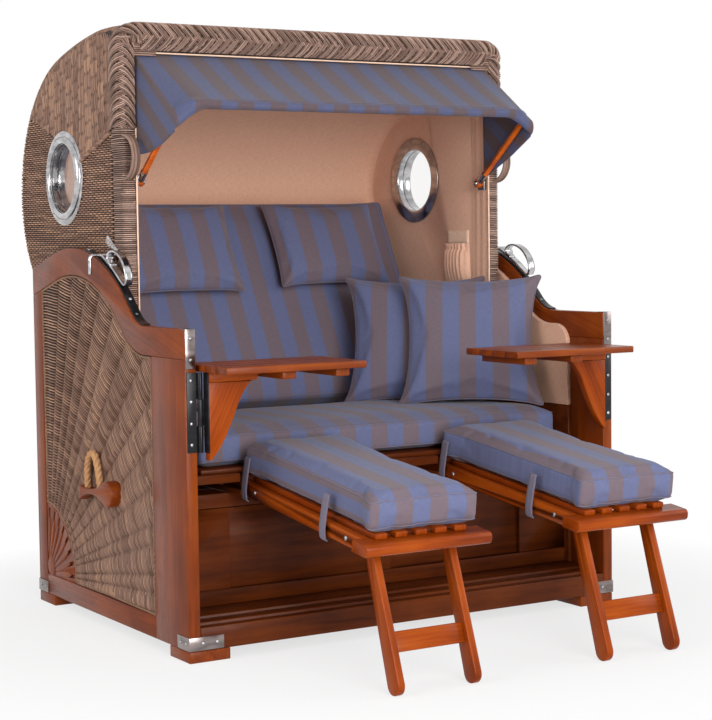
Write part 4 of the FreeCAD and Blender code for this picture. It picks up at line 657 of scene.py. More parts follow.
def rows_at(marks: np.ndarray, lengths: np.ndarray, rows: np.ndarray) -> np.ndarray:
    """Rows read off at marks along their lengths."""
    return np.stack([np.interp(marks, lengths, rows[:, i]) for i in range(rows.shape[1])], 1)


def unit(rows: np.ndarray) -> np.ndarray:
    """Rows scaled to a length of one."""
    return rows / np.linalg.norm(rows, axis=1)[:, None]


def carry(points: np.ndarray, turn: np.ndarray) -> np.ndarray:
    """Points moved by a matrix."""
    return points @ turn[:3, :3].T + turn[:3, 3]


def sweep(paths: Sequence[np.ndarray], section: Points | float, closed: bool = False, sides: int = 1,
          upright: bool = True) -> bpy.types.Mesh:
    """Sweep a section along many paths.

    Args:
        paths: Rows of points, one array for each path.
        section: A radius, or the points of an open section, first across and then up.
        closed: Whether the paths close on themselves.
        sides: Roundness of a round section.
        upright: Whether the section's up stays with the third axis.

    Returns:
        The swept mesh, with the paths' points in order.
    """
    curve = bpy.data.curves.new("route", "CURVE")
    curve.dimensions = "3D"
    curve.twist_mode = "Z_UP" if upright else "MINIMUM"
    holder = None
    if isinstance(section, (int, float)):
        curve.bevel_depth = section
        curve.bevel_resolution = sides
    else:
        outline = bpy.data.curves.new("section", "CURVE")
        line = outline.splines.new("POLY")
        line.points.add(len(section) - 1)
        for point, (across, up) in zip(line.points, section):
            point.co = (across, up, 0, 1)
        holder = bpy.data.objects.new("section", outline)
        curve.bevel_mode = "OBJECT"
        curve.bevel_object = holder
    for path in paths:
        spline = curve.splines.new("POLY")
        spline.points.add(len(path) - 1)
        spline.points.foreach_set("co", np.hstack([path, np.ones((len(path), 1))]).ravel())
        spline.use_cyclic_u = closed
    mesh = baked(add_object("route", curve))
    bpy.data.curves.remove(curve)
    if holder:
        outline = holder.data
        bpy.data.objects.remove(holder)
        bpy.data.curves.remove(outline)
    return mesh


@dataclass
class Strands:
    """Half-round strands laid side by side on a flat drawing and bent onto their surface.

    Paths are in millimetres: along, across and lift. Each has a row number and a patch tone, which some
    weaves also use for painted light and shade where strands rise and dip.
    """

    width: float = 5.6
    thick: float = 2.6

    def __post_init__(self) -> None:
        """Start with no strands."""
        self.paths: list[np.ndarray] = []
        self.rows: list[float] = []
        self.patches: list[np.ndarray] = []

    def lay(self, path: Points, row: float, patch: object = 0.0) -> None:
        """Add a strand.

        Args:
            path: The strand's points.
            row: Its number, which picks its tone.
            patch: A lighter or darker share, for all points or each.
        """
        path = np.asarray(path, float)
        self.paths.append(path)
        self.rows.append(row)
        self.patches.append(np.broadcast_to(np.asarray(patch, float), (len(path),)))

    def lay_runs(self, path: np.ndarray, keep: np.ndarray, row: float, patch: np.ndarray) -> None:
        """Add the stretches of a strand where keep is true."""
        edges = np.flatnonzero(np.diff(np.concatenate([[0], keep.astype(int), [0]])))
        for start, end in zip(edges[::2], edges[1::2]):
            if end - start > 1:
                self.lay(path[start:end], row, patch[start:end])

    def mesh(self, onto: Mapping, flip: bool = False) -> bpy.types.Mesh:
        """Sweep the strands and bend them onto a surface.

        Args:
            onto: Takes flat points to the drawing's width, depth and height.
            flip: Whether the bend mirrors the strands.

        Returns:
            The strands' mesh, with its weave and patch kept at each point.
        """
        half, low, high = self.width / 2, -self.thick * 0.4, self.thick * 0.75
        section = ((-half, low), (-half * 0.5, high), (half * 0.5, high), (half, low))
        mesh = sweep(self.paths, section)
        count = len(section)
        along = np.repeat(np.concatenate([lengths_along(p) for p in self.paths]), count) * MM
        row = np.repeat(np.concatenate([np.full(len(p), r) for p, r in zip(self.paths, self.rows)]), count)
        patch = np.repeat(np.concatenate(self.patches), count)
        # Painted shade: the section's two lower corners are marked 1, so the cane finish darkens each
        # strand's edges.
        edge = np.tile((1.0, 0.0, 0.0, 1.0), len(along) // count)
        ribs = np.tile((-0.4, -0.15, 0.15, 0.4), len(along) // count)
        vectors(mesh, "weave", np.stack([along, row + ribs, edge], 1))
        vectors(mesh, "patch", np.stack([patch, patch, patch], 1))
        move_points(mesh, place(onto(points_of(mesh))))
        if flip:
            mesh.flip_normals()
        smooth(mesh, 70)
        return mesh


def helix(route: np.ndarray, count: int, radius: float, pitch: float) -> list[np.ndarray]:
    """Twist strands round a route.

    Args:
        route: Close points along the route.
        count: Number of strands.
        radius: Distance of each strand from the route.
        pitch: Length of a full turn.

    Returns:
        One path for each strand.
    """
    ahead = unit(np.gradient(route, axis=0))
    first = unit(np.cross(ahead, (1.0, 0.0, 0.0) if abs(ahead[0][0]) < 0.8 else (0.0, 1.0, 0.0)))
    second = np.cross(ahead, first)
    length = lengths_along(route)
    paths = []
    for number in range(count):
        turn = 2 * math.pi * (length / pitch + number / count)
        paths.append(route + radius * (np.cos(turn)[:, None] * first + np.sin(turn)[:, None] * second))
    return paths


def even(route: Points, step: float) -> np.ndarray:
    """Points at an even step along straight runs."""
    route = np.asarray(route, float)
    length = lengths_along(route)
    return rows_at(np.linspace(0, length[-1], max(3, int(length[-1] / step))), length, route)


def islands(mesh: bpy.types.Mesh) -> np.ndarray:
    """The number of the loose part that each point belongs to."""
    ends = np.zeros(len(mesh.edges) * 2, dtype=np.int32)
    mesh.edges.foreach_get("vertices", ends)
    first, second = ends.reshape(-1, 2).T
    label = np.arange(len(mesh.vertices))
    while True:
        before = label.copy()
        low = np.minimum(label[first], label[second])
        np.minimum.at(label, first, low)
        np.minimum.at(label, second, low)
        label = label[label]
        if (label == before).all():
            return np.unique(label, return_inverse=True)[1]


def lay_grain(mesh: bpy.types.Mesh) -> None:
    """Keep coordinates along and across each board for its grain."""
    points, label = points_of(mesh), islands(mesh)
    grain = np.zeros_like(points)
    for number in range(label.max() + 1):
        own = points[label == number]
        centre = own.mean(0)
        axes = np.linalg.svd(own - centre, full_matrices=False)[2]
        axes *= np.sign(axes[np.arange(3), np.abs(axes).argmax(1)])[:, None]
        shift = (0.37 * number, 0.053 * number, 0.081 * number)
        grain[label == number] = (own - centre) @ axes.T + shift
    vectors(mesh, "grain", grain)


def rounded_copy(node: str, width: float, finish: Finish, slot: Slot, steps: int = 2) -> bpy.types.Object:
    """Copy a CAD node with its sharp outer edges eased.

    Args:
        node: The node's name.
        width: Width of the eased edge in millimetres.
        finish: The copy's finish.
        slot: The record's slot.
        steps: Number of faces across the eased edge.

    Returns:
        The copy, which stands for the node.
    """
    source = frame["nodes"][node]
    bm = bmesh.new()
    bm.from_mesh(source.data)
    bmesh.ops.remove_doubles(bm, verts=bm.verts[:], dist=1e-5)
    bmesh.ops.dissolve_limit(bm, angle_limit=math.radians(2), verts=bm.verts[:], edges=bm.edges[:])
    ease_edges(bm, width, steps)
    mesh = close_bmesh(bm, f"{node}_rounded")
    lay_grain(mesh)
    piece = new_object(f"{node}_rounded", mesh, finish)
    return mount(piece, source["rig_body"], slot, node)


def ease_edges(bm: bmesh.types.BMesh, width: float, steps: int = 2) -> None:
    """Bevel the sharp outer edges of a bmesh by a width in millimetres."""
    sharp = [edge for edge in bm.edges if len(edge.link_faces) == 2 and edge.is_convex
             and edge.calc_face_angle() > math.radians(35)]
    bmesh.ops.bevel(bm, geom=sharp, offset=width * MM, offset_type="OFFSET", segments=steps, profile=0.5,
                    affect="EDGES", clamp_overlap=False, material=-1)


def tube_fields(mesh: bpy.types.Mesh, paths: Sequence[np.ndarray]) -> None:
    """Keep length, strand number and a painted shade share round the section for each point of round tubes.
    """
    count = len(mesh.vertices) // sum(len(p) for p in paths)
    along = np.repeat(np.concatenate([lengths_along(p) for p in paths]), count)
    row = np.repeat(np.concatenate([np.full(len(p), i) for i, p in enumerate(paths)]), count)
    # Painted shade: one side of each tube's section is marked up to 0.3, which the cane finish darkens
    # towards its gap colour; the rope finish reads it only as a fibre coordinate.
    painted_shade_round = np.tile(np.abs(np.linspace(-1, 1, count, endpoint=False)) * 0.3, len(along) // count)
    vectors(mesh, "weave", np.stack([along, row, painted_shade_round], 1))
    vectors(mesh, "patch", np.zeros((len(along), 3)))


def tubes(name: str, paths: Sequence[np.ndarray], radius: float, finish: Finish, sides: int = 2,
          closed: bool = False) -> bpy.types.Object:
    """Round tubes along paths in the model's metres.

    Args:
        name: The piece's name.
        paths: Rows of points.
        radius: Radius in metres.
        finish: The finish.
        sides: Roundness of the section.
        closed: Whether the paths close on themselves.

    Returns:
        The piece.
    """
    mesh = sweep(paths, radius, closed=closed, sides=sides, upright=False)
    tube_fields(mesh, paths)
    points = points_of(mesh)
    lay_cloth(mesh, points[:, 0] + points[:, 2], points[:, 1])
    smooth(mesh, 80)
    return new_object(name, mesh, finish)


def studs(name: str, spots: Sequence[tuple[Points, Points]], radius: float, height: float,
          finish: Finish) -> bpy.types.Object:
    """Low domed heads, each at a point along a direction.

    Args:
        name: The piece's name.
        spots: Point in drawing millimetres and direction for each head.
        radius: Radius in millimetres.
        height: Height in millimetres.
        finish: The finish.

    Returns:
        The piece.
    """
    bm = bmesh.new()
    for spot, ahead in spots:
        turn = Vector((0, 0, 1)).rotation_difference(Vector(ahead)).to_matrix().to_4x4()
        where = Matrix.Translation(Vector(place(spot))) @ turn
        made = bmesh.ops.create_uvsphere(bm, u_segments=12, v_segments=6, radius=radius * MM)
        bmesh.ops.scale(bm, vec=(1, 1, height / radius), verts=made["verts"])
        bmesh.ops.transform(bm, matrix=where, verts=made["verts"])
    return new_object(name, close_bmesh(bm, name, 60), finish)


def ribbon(name: str, route: np.ndarray, across: Points, width: float, thick: float,
           finish: Finish) -> bpy.types.Object:
    """A flat band along a route.

    Args:
        name: The piece's name.
        route: Points in the model's metres.
        across: Direction of the band's width.
        width: Width in metres.
        thick: Thickness in metres.
        finish: The finish.

    Returns:
        The piece.
    """
    bm = bmesh.new()
    bmesh.ops.create_grid(bm, x_segments=len(route) - 1, y_segments=4, size=1)
    side = Vector(across).normalized()
    fields = []
    for vert in bm.verts:
        share = (vert.co.x + 1) / 2 * (len(route) - 1)
        lift = vert.co.y * width / 2
        low = min(int(share), len(route) - 2)
        base = Vector(route[low]).lerp(Vector(route[low + 1]), share - low)
        fields.append((lift, share * 0.01, 0.0))
        vert.co = base + side * lift
    mesh = close_bmesh(bm, name, 60)
    vectors(mesh, "cloth", np.array(fields))
    piece = new_object(name, mesh, finish)
    thicken(piece, thick, 0)
    return piece


@dataclass
class Studio:
    """Camera at the photograph's angle, soft lamps, pale floor and white backdrop."""

    yaw: float = 31.346
    pitch: float = -3.901
    roll: float = -0.728
    lens: float = 91.55
    position: tuple[float, float, float] = (-2.71798, -4.47400, 1.08812)
    sensor: float = 36.0
    ambient: float = 0.5
    floor_half: float = 40.0
    shadow_reach: float = 3.2
    lamps: tuple = (("front lamp", (-1.0, -5.0, 2.3), (0, 0, 0.8), 2.6, 112),
                    ("low front lamp", (-0.6, -5.2, 1.1), (0, 0.2, 1.0), 2.4, 112),
                    ("left lamp", (-4.6, -0.8, 2.4), (0, 0, 0.8), 2.6, 80),
                    ("right lamp", (4.2, -2.8, 2.4), (0, 0, 0.7), 2.4, 54))

    def camera(self) -> None:
        """Set the camera."""
        yaw, pitch, roll = (math.radians(a) for a in (self.yaw, self.pitch, self.roll))
        ahead = Vector((math.sin(yaw) * math.cos(pitch), math.cos(yaw) * math.cos(pitch), math.sin(pitch)))
        right = Vector((math.cos(yaw), -math.sin(yaw), 0))
        up = right.cross(ahead)
        level = math.cos(roll) * right + math.sin(roll) * up
        rising = math.cos(roll) * up - math.sin(roll) * right
        data = bpy.data.cameras.new("viewpoint")
        data.lens = self.lens
        data.sensor_width = self.sensor
        camera = add_object("viewpoint", data)
        turn = Matrix((level, rising, -ahead)).transposed().to_4x4()
        camera.matrix_world = Matrix.Translation(self.position) @ turn
        bpy.context.scene.camera = camera

    def lamp(self, name: str, spot: Points, target: Points, size: float, power: float) -> None:
        """Add a soft square lamp that looks at a point."""
        data = bpy.data.lights.new(name, "AREA")
        data.size = size
        data.energy = power
        turn = (Vector(target) - Vector(spot)).to_track_quat("-Z", "Y")
        lamp = add_object(name, data)
        lamp.matrix_world = Matrix.Translation(spot) @ turn.to_matrix().to_4x4()

    def white_seen(self, w: Wiring) -> bpy.types.NodeSocket:
        """One where the camera, a gloss or a pane looks straight at the backdrop."""
        path = w.add("ShaderNodeLightPath").outputs
        seen = w.maths("MAXIMUM", path["Is Camera Ray"], path["Is Transmission Ray"])
        return w.maths("MAXIMUM", seen, path["Is Glossy Ray"])

    def sky(self) -> None:
        """White world with a softer light than it shows."""
        world = bpy.data.worlds.new("backdrop")
        world.use_nodes = True
        w = Wiring(world.node_tree)
        light = w.add("ShaderNodeBackground", {"Color": (1, 1, 1, 1), "Strength": self.ambient})
        shown = w.add("ShaderNodeBackground", {"Color": (1, 1, 1, 1), "Strength": 1.0})
        inputs = {0: self.white_seen(w), 1: light.outputs[0], 2: shown.outputs[0]}
        w.add("ShaderNodeOutputWorld", {0: w.add("ShaderNodeMixShader", inputs).outputs[0]})
        bpy.context.scene.world = world

    def floor(self) -> None:
        """Pale floor that keeps a soft shadow near the object."""
        finish = bpy.data.materials.new("pale floor")
        finish.use_nodes = True
        w = Wiring(finish.node_tree)
        matt = w.add("ShaderNodeBsdfDiffuse", {"Color": (0.86, 0.86, 0.86, 1)})
        glow = w.add("ShaderNodeEmission", {"Color": (1, 1, 1, 1), "Strength": 1.0})
        away = w.add("ShaderNodeVectorMath", {0: w.own_place()}, operation="LENGTH").outputs["Value"]
        white = w.plus(0.7, w.between(w.maths("DIVIDE", away, self.shadow_reach), 0.25, 1.0))
        share = w.maths("MINIMUM", w.times(self.white_seen(w), white), 1.0)
        inputs = {0: share, 1: matt.outputs[0], 2: glow.outputs[0]}
        w.add("ShaderNodeOutputMaterial", {0: w.add("ShaderNodeMixShader", inputs).outputs[0]})
        bm = bmesh.new()
        bmesh.ops.create_grid(bm, x_segments=2, y_segments=2, size=self.floor_half)
        mesh = plain_mesh(bm, "floor")
        mesh.materials.append(finish)
        add_object("floor", mesh)

    def build(self) -> None:
        """Camera, lamps, backdrop and plain view settings."""
        bpy.context.scene.view_settings.view_transform = "Standard"
        self.camera()
        for lamp in self.lamps:
            self.lamp(*lamp)
        self.sky()
        self.floor()


@dataclass
class CarryRopes:
    """Twisted rope loop on the cleat of each side."""

    route: tuple = ((604, 378), (610, 438), (594, 484), (558, 494), (530, 450), (516, 380))
    out: float = 702.0
    radius: float = 10.0
    pitch: float = 52.0

    def build(self) -> None:
        """Both loops."""
        for side, sign in SIDES:
            self.loop(side, sign)

    def loop(self, side: str, sign: int) -> None:
        """Three strands round one smooth line.

        Args:
            side: Name of the side.
            sign: Direction of the side along the width.
        """
        points = place([(sign * self.out, y, z) for y, z in self.route])
        curve = bpy.data.curves.new("rope_line", "CURVE")
        curve.dimensions = "3D"
        curve.resolution_u = 24
        spline = curve.splines.new("NURBS")
        spline.points.add(len(points) - 1)
        for point, spot in zip(spline.points, points):
            point.co = (*spot, 1)
        spline.order_u = 3
        spline.use_endpoint_u = True
        carrier = bpy.data.objects.new("rope_line", curve)
        line = bpy.data.meshes.new_from_object(carrier)
        path = points_of(line)
        bpy.data.objects.remove(carrier)
        strands = helix(path, 3, self.radius * 0.5 * MM, self.pitch * MM)
        rope = tubes(f"{side}_carry_rope", strands, self.radius * 0.56 * MM, ROPE, 4)
        mount(rope, Body.BASE.value, Slot.ROPE, f"{side}_rope_loop")


@dataclass
class Joinery:
    """Wooden and metal nodes with eased edges."""

    edge: float = 2.2
    bow_edge: float = 0.8
    sun_edge: float = 0.3
    plate_edge: float = 0.7
    outer: tuple = ("left_front_post", "right_front_post", "left_top_rail", "right_top_rail", "rear_posts",
                    "bottom_rails", "rope_cleats", "feet", "rear_panel", "left_table_top", "right_table_top")
    golden: tuple = ("left_footrest_frame", "right_footrest_frame", "left_leg_frame", "right_leg_frame")
    inner: tuple = ("front_plinth", "lower_panelling", "seat_rails", "footrest_runners", "seat_board",
                    "hood_frame", "back_board")
    worn: tuple = ("corner_irons",)
    bright: tuple = ("porthole_rings", "latch_brackets", "awning_brackets")
    dull: tuple = ("hood_pivots",)
    black: tuple = ("latch_strips", "post_hinges", "left_table_hinge", "right_table_hinge")
    covered: tuple = ("left_wicker_panel", "right_wicker_panel", "left_hood_side", "right_hood_side",
                      "hood_roof", "hood_braid", "hood_bindings")
    bracket_edge: tuple = ((516, 722), (532, 704), (552, 672), (570, 630), (597, 574), (618, 543), (632, 527))
    bracket_inner: float = 639.2
    bracket_foot: float = 522.0
    ledge: tuple = ((639.2, 722), (639.2, 747), (492, 747), (504, 722))
    bracket_depths: tuple = ((-35.0, -9.0), (-38.0, -7.0))

    def build(self) -> None:
        """Every board and fitting."""
        # Painted shade: the inner pieces take the darker shaded copy of the hardwood.
        for nodes, finish in ((self.outer, MAHOGANY), (self.golden, GOLDEN), (self.inner, MAHOGANY_SHADED)):
            for node in nodes:
                rounded_copy(node, self.edge, finish, Slot.WOOD)
        for side, sign in SIDES:
            self.bracket(side, sign)
        rounded_copy("awning_bow", self.bow_edge, BOW_WOOD, Slot.WOOD)
        rounded_copy("sun_corners", self.sun_edge, MAHOGANY, Slot.WOOD, 1)
        for nodes, finish, slot in ((self.worn, WORN_PLATE, Slot.CHROME), (self.bright, CHROME, Slot.CHROME),
                                    (self.dull, STEEL, Slot.STEEL), (self.black, IRON, Slot.IRON)):
            for node in nodes:
                rounded_copy(node, self.plate_edge, finish, slot)
        # Painted shade: the woven CAD shells under the strands are coloured dark to stand for the shade
        # between strands.
        for node in self.covered:
            self.dress(node, WEAVE_SHADE)
        self.dress("porthole_panes", PANE)

    def bracket(self, side: str, sign: int) -> None:
        """Bracket under a table, a bulging plate below a ledge with a slanted end.

        Args:
            side: Name of the side.
            sign: Direction of the side along the width.
        """
        plate = [(self.bracket_inner, self.bracket_foot), (self.bracket_inner, self.ledge[0][1]),
                 *eased(self.bracket_edge)]
        bm = bmesh.new()
        for outline, (front, back) in zip((plate, self.ledge), self.bracket_depths):
            face = bm.faces.new([bm.verts.new(place((sign * x, front, z))) for x, z in outline])
            made = bmesh.ops.extrude_face_region(bm, geom=[face])["geom"]
            fresh = [item for item in made if isinstance(item, bmesh.types.BMVert)]
            bmesh.ops.translate(bm, vec=(0, (back - front) * MM, 0), verts=fresh)
        bmesh.ops.recalc_face_normals(bm, faces=bm.faces[:])
        ease_edges(bm, self.edge)
        name = f"{side}_table_bracket"
        mesh = close_bmesh(bm, name)
        lay_grain(mesh)
        mount(new_object(name, mesh, GOLDEN), f"{side}_table", Slot.WOOD, f"{side}_table_gusset")

    def dress(self, node: str, finish: Finish) -> None:
        """Give a CAD node its finish."""
        piece = frame["nodes"][node]
        for slot in piece.material_slots:
            slot.material = finish.material()
        LOG.info("%s keeps its shape", node)


def rail_top(depth: np.ndarray, drop: float) -> np.ndarray:
    """Height of a side frame's top line, dropped square to it.

    Args:
        depth: Depth behind the posts' front.
        drop: How far below the top line.

    Returns:
        Heights in millimetres.
    """
    pivot_y, pivot_z = HOOD_PIVOT
    radius = ARCH_RADIUS - drop
    knee = KNEE_Z - np.sqrt(np.maximum((KNEE_RADIUS + drop) ** 2 - (depth - KNEE_Y) ** 2, 0))
    arch = pivot_z + np.sqrt(np.maximum(radius ** 2 - (depth - pivot_y) ** 2, 0))
    arch_end, knee_end = pivot_y + radius * TAIL_SINE, pivot_y - radius * KNEE_SHARE
    tail = pivot_z + radius * TAIL_COSINE - TAIL_FALL * (depth - arch_end)
    high = np.where(depth <= arch_end, arch, tail)
    return np.where(depth <= KNEE_Y, ARM_HEIGHT - drop, np.where(depth <= knee_end, knee, high))


@dataclass
class SideWeave:
    """Sun-ray weave of the side frames: strands run across rays that fan out from the carved corner."""

    corner_y: float = 955.0
    corner_z: float = 90.0
    front_y: float = 200.0
    face: float = 684.0
    sun: float = 217.0
    pitch: float = 8.6
    arcs: int = 100
    rail: float = 76.0
    fade: float = 90.0
    upright_band: float = 40.0
    rays: tuple = (0, 4.7, 8.4, 14.4, 18.3, 25, 31.5, 38, 44.5, 51, 57.5, 64, 70, 76, 82, 88)
    ridge: float = 2.8
    crease: float = 5.5
    spread: float = 1.5

    def onto(self, sign: int) -> Mapping:
        """Bend from the flat drawing onto one side's face."""
        def bend(flat: np.ndarray) -> np.ndarray:
            return np.stack([sign * (self.face + 1 + flat[:, 2]), self.corner_y - flat[:, 0],
                             self.corner_z + flat[:, 1]], 1)
        return bend

    def strands(self) -> Strands:
        """All arcs about the carved corner, cut to the frame."""
        laid = Strands(self.pitch * 0.6, 3.6)
        rays = np.radians(np.array(self.rays, float))
        rng = np.random.default_rng(5)
        tints = rng.uniform(-0.14, 0.14, len(rays))
        for number in range(self.arcs):
            radius = self.sun + self.pitch * (number + 0.5)
            stop = math.acos(self.upright_band / radius)
            turns, lifts, tint_and_crease_shade = [], [], []
            for band, (low, high) in enumerate(zip(rays[:-1], rays[1:])):
                width = (high - low) * radius
                count = max(7, int(width / 8))
                share = np.arange(count) / count
                turns.append(low + (high - low) * share)
                aside = np.degrees(np.minimum(share, 1 - share) * (high - low))
                crease = np.maximum(0, 1 - aside / self.spread)
                depth = self.crease * (0.5 + 0.5 * (radius - 193) / 947)
                lifts.append(0.4 + self.ridge * np.sin(np.pi * share) ** 0.8 - depth * crease)
                # Painted shade: strands are darkened where they dip into the crease between rays; the band
                # tints are random tones.
                tint_and_crease_shade.append(tints[band] - 0.45 * crease ** 1.5)
            turn, lift, shade = np.concatenate(turns), np.concatenate(lifts), np.concatenate(tint_and_crease_shade)
            keep = turn < stop
            turn, lift, shade = turn[keep], lift[keep], shade[keep]
            path = np.stack([radius * np.cos(turn), radius * np.sin(turn), lift], 1)
            tail_x = np.linspace(self.upright_band, 1, 9)
            tail_z = np.full(9, radius * math.sin(stop))
            tail = np.stack([tail_x, tail_z, 1.4 * np.cos(np.pi * (np.arange(9) + number))], 1)
            path = np.vstack([path, tail])
            shade = np.concatenate([shade, np.full(9, 0.12)])
            depth = self.corner_y - path[:, 0]
            height = self.corner_z + path[:, 1]
            top = rail_top(depth, self.rail)
            inside = (depth > self.front_y + 2) & (height < top - 2) & (height > self.corner_z + 1)
            ahead, below = (depth - self.front_y) / self.fade, (top - height) / self.fade
            sag = np.clip(ahead, 0, 1) * np.clip(below, 0, 1)
            path[:, 2] = np.where(path[:, 2] > 0, path[:, 2] * (0.4 + 0.6 * sag), path[:, 2])
            laid.lay_runs(path, inside, number, shade)
        return laid

    def edging(self, sign: int) -> list[np.ndarray]:
        """Twisted light strand along the frame's inner edge."""
        depth = np.linspace(self.front_y + 4, self.corner_y - 4, 90)
        top = np.stack([depth, rail_top(depth, self.rail) - 5], 1)
        turn = np.radians(np.linspace(90, 0, 30))
        reach = self.sun + 3
        arc = np.stack([self.corner_y - reach * np.cos(turn), self.corner_z + reach * np.sin(turn)], 1)
        start = (self.front_y + 4, self.corner_z + 4)
        outline = np.vstack([start, top, arc[1:-1], start])
        route = np.column_stack([np.full(len(outline), sign * (self.face + 3.5)), outline])
        return helix(place(even(route, 4.0)), 2, 2.0 * MM, 15 * MM)

    def build(self) -> None:
        """Weave, edging and carved petals of both sides."""
        for side, sign in SIDES:
            mesh = self.strands().mesh(self.onto(sign), flip=sign > 0)
            piece = new_object(f"{side}_ray_weave", mesh, WICKER)
            mount(piece, Body.BASE.value, Slot.WICKER)
            rope = tubes(f"{side}_weave_edging", self.edging(sign), 2.4 * MM, EDGE_CANE, 1)
            mount(rope, Body.BASE.value, Slot.WICKER)
            mount(self.petals(side, sign), Body.BASE.value, Slot.WOOD)

    def petals(self, side: str, sign: int) -> bpy.types.Object:
        """Carved leaves that fan out on the quarter disc."""
        bm = bmesh.new()
        for turn in np.radians(np.linspace(7, 83, 8)):
            made = bmesh.ops.create_uvsphere(bm, u_segments=12, v_segments=8, radius=1)
            bmesh.ops.scale(bm, vec=(62, 8.5, 2.6), verts=made["verts"])
            bmesh.ops.translate(bm, vec=(118, 0, 0), verts=made["verts"])
            bmesh.ops.rotate(bm, verts=made["verts"], matrix=Matrix.Rotation(turn, 3, "Z"))
        disc = bmesh.ops.create_uvsphere(bm, u_segments=24, v_segments=10, radius=1)
        bmesh.ops.scale(bm, vec=(30, 30, 3.2), verts=disc["verts"])
        bmesh.ops.translate(bm, vec=(26, 26, 0), verts=disc["verts"])
        mesh = close_bmesh(bm, f"{side}_sun_petals", 50)
        flat = points_of(mesh)
        flat[:, 2] = np.maximum(flat[:, 2], -1.0) + 2.4
        move_points(mesh, place(self.onto(sign)(flat)))
        if sign > 0:
            mesh.flip_normals()
        lay_grain(mesh)
        return new_object(f"{side}_sun_petals", mesh, MAHOGANY)


class HoodOutline:
    """Side outline of the hood from its front edge over the crown to its foot behind."""

    arcs = ((258.3, -121.0, 1800.0, 81.0, 65.0), (875.7, 1203.1, 339.0, 65.0, 12.8),
            (1060.0, 1245.0, 150.0, 12.8, -28.0))
    foot: float = 600.0

    def __init__(self) -> None:
        """Sample the outline with its outward direction."""
        spots, outs = [], []
        for y, z, radius, start, end in self.arcs:
            turn = np.radians(np.linspace(start, end, 60))
            out = np.stack([np.cos(turn), np.sin(turn)], 1)
            spots.append(np.array([y, z]) + radius * out)
            outs.append(out)
        last, out = spots[-1][-1], outs[-1][-1]
        down = np.array([out[1], -out[0]])
        run = (last[1] - self.foot) / -down[1]
        spots.append(last + np.linspace(0.02, 1, 40)[:, None] * run * down)
        outs.append(np.repeat(out[None], 40, 0))
        self.spots, self.outs = np.concatenate(spots), np.concatenate(outs)
        self.length = lengths_along(self.spots)

    def at(self, length: np.ndarray) -> tuple[np.ndarray, np.ndarray]:
        """Points and outward directions at lengths along the outline."""
        return rows_at(length, self.length, self.spots), unit(rows_at(length, self.length, self.outs))

    def inside(self, points: np.ndarray, inset: float) -> np.ndarray:
        """Whether points of depth and height lie inside the outline by an inset."""
        ring = self.spots - inset * self.outs
        ring = np.vstack([(0, ring[0][1]), ring, (ring[-1][0], -500), (0, -500)])
        y, z = points.T
        within = np.zeros(len(points), bool)
        for (y0, z0), (y1, z1) in zip(ring, np.roll(ring, -1, 0)):
            if z0 == z1:
                continue
            crosses = ((z0 > z) != (z1 > z)) & (y < (y1 - y0) * (z - z0) / (z1 - z0) + y0)
            within ^= crosses
        return within


class ShellOutline(HoodOutline):
    """Side outline of the woven shell, fuller at crown and back than the lining's."""

    arcs = ((492.5, -23.3, 1700.0, 88.4, 75.0), (821.2, 1203.5, 430.0, 75.0, 8.0),
            (890.5, 1213.2, 360.0, 8.0, -36.0))


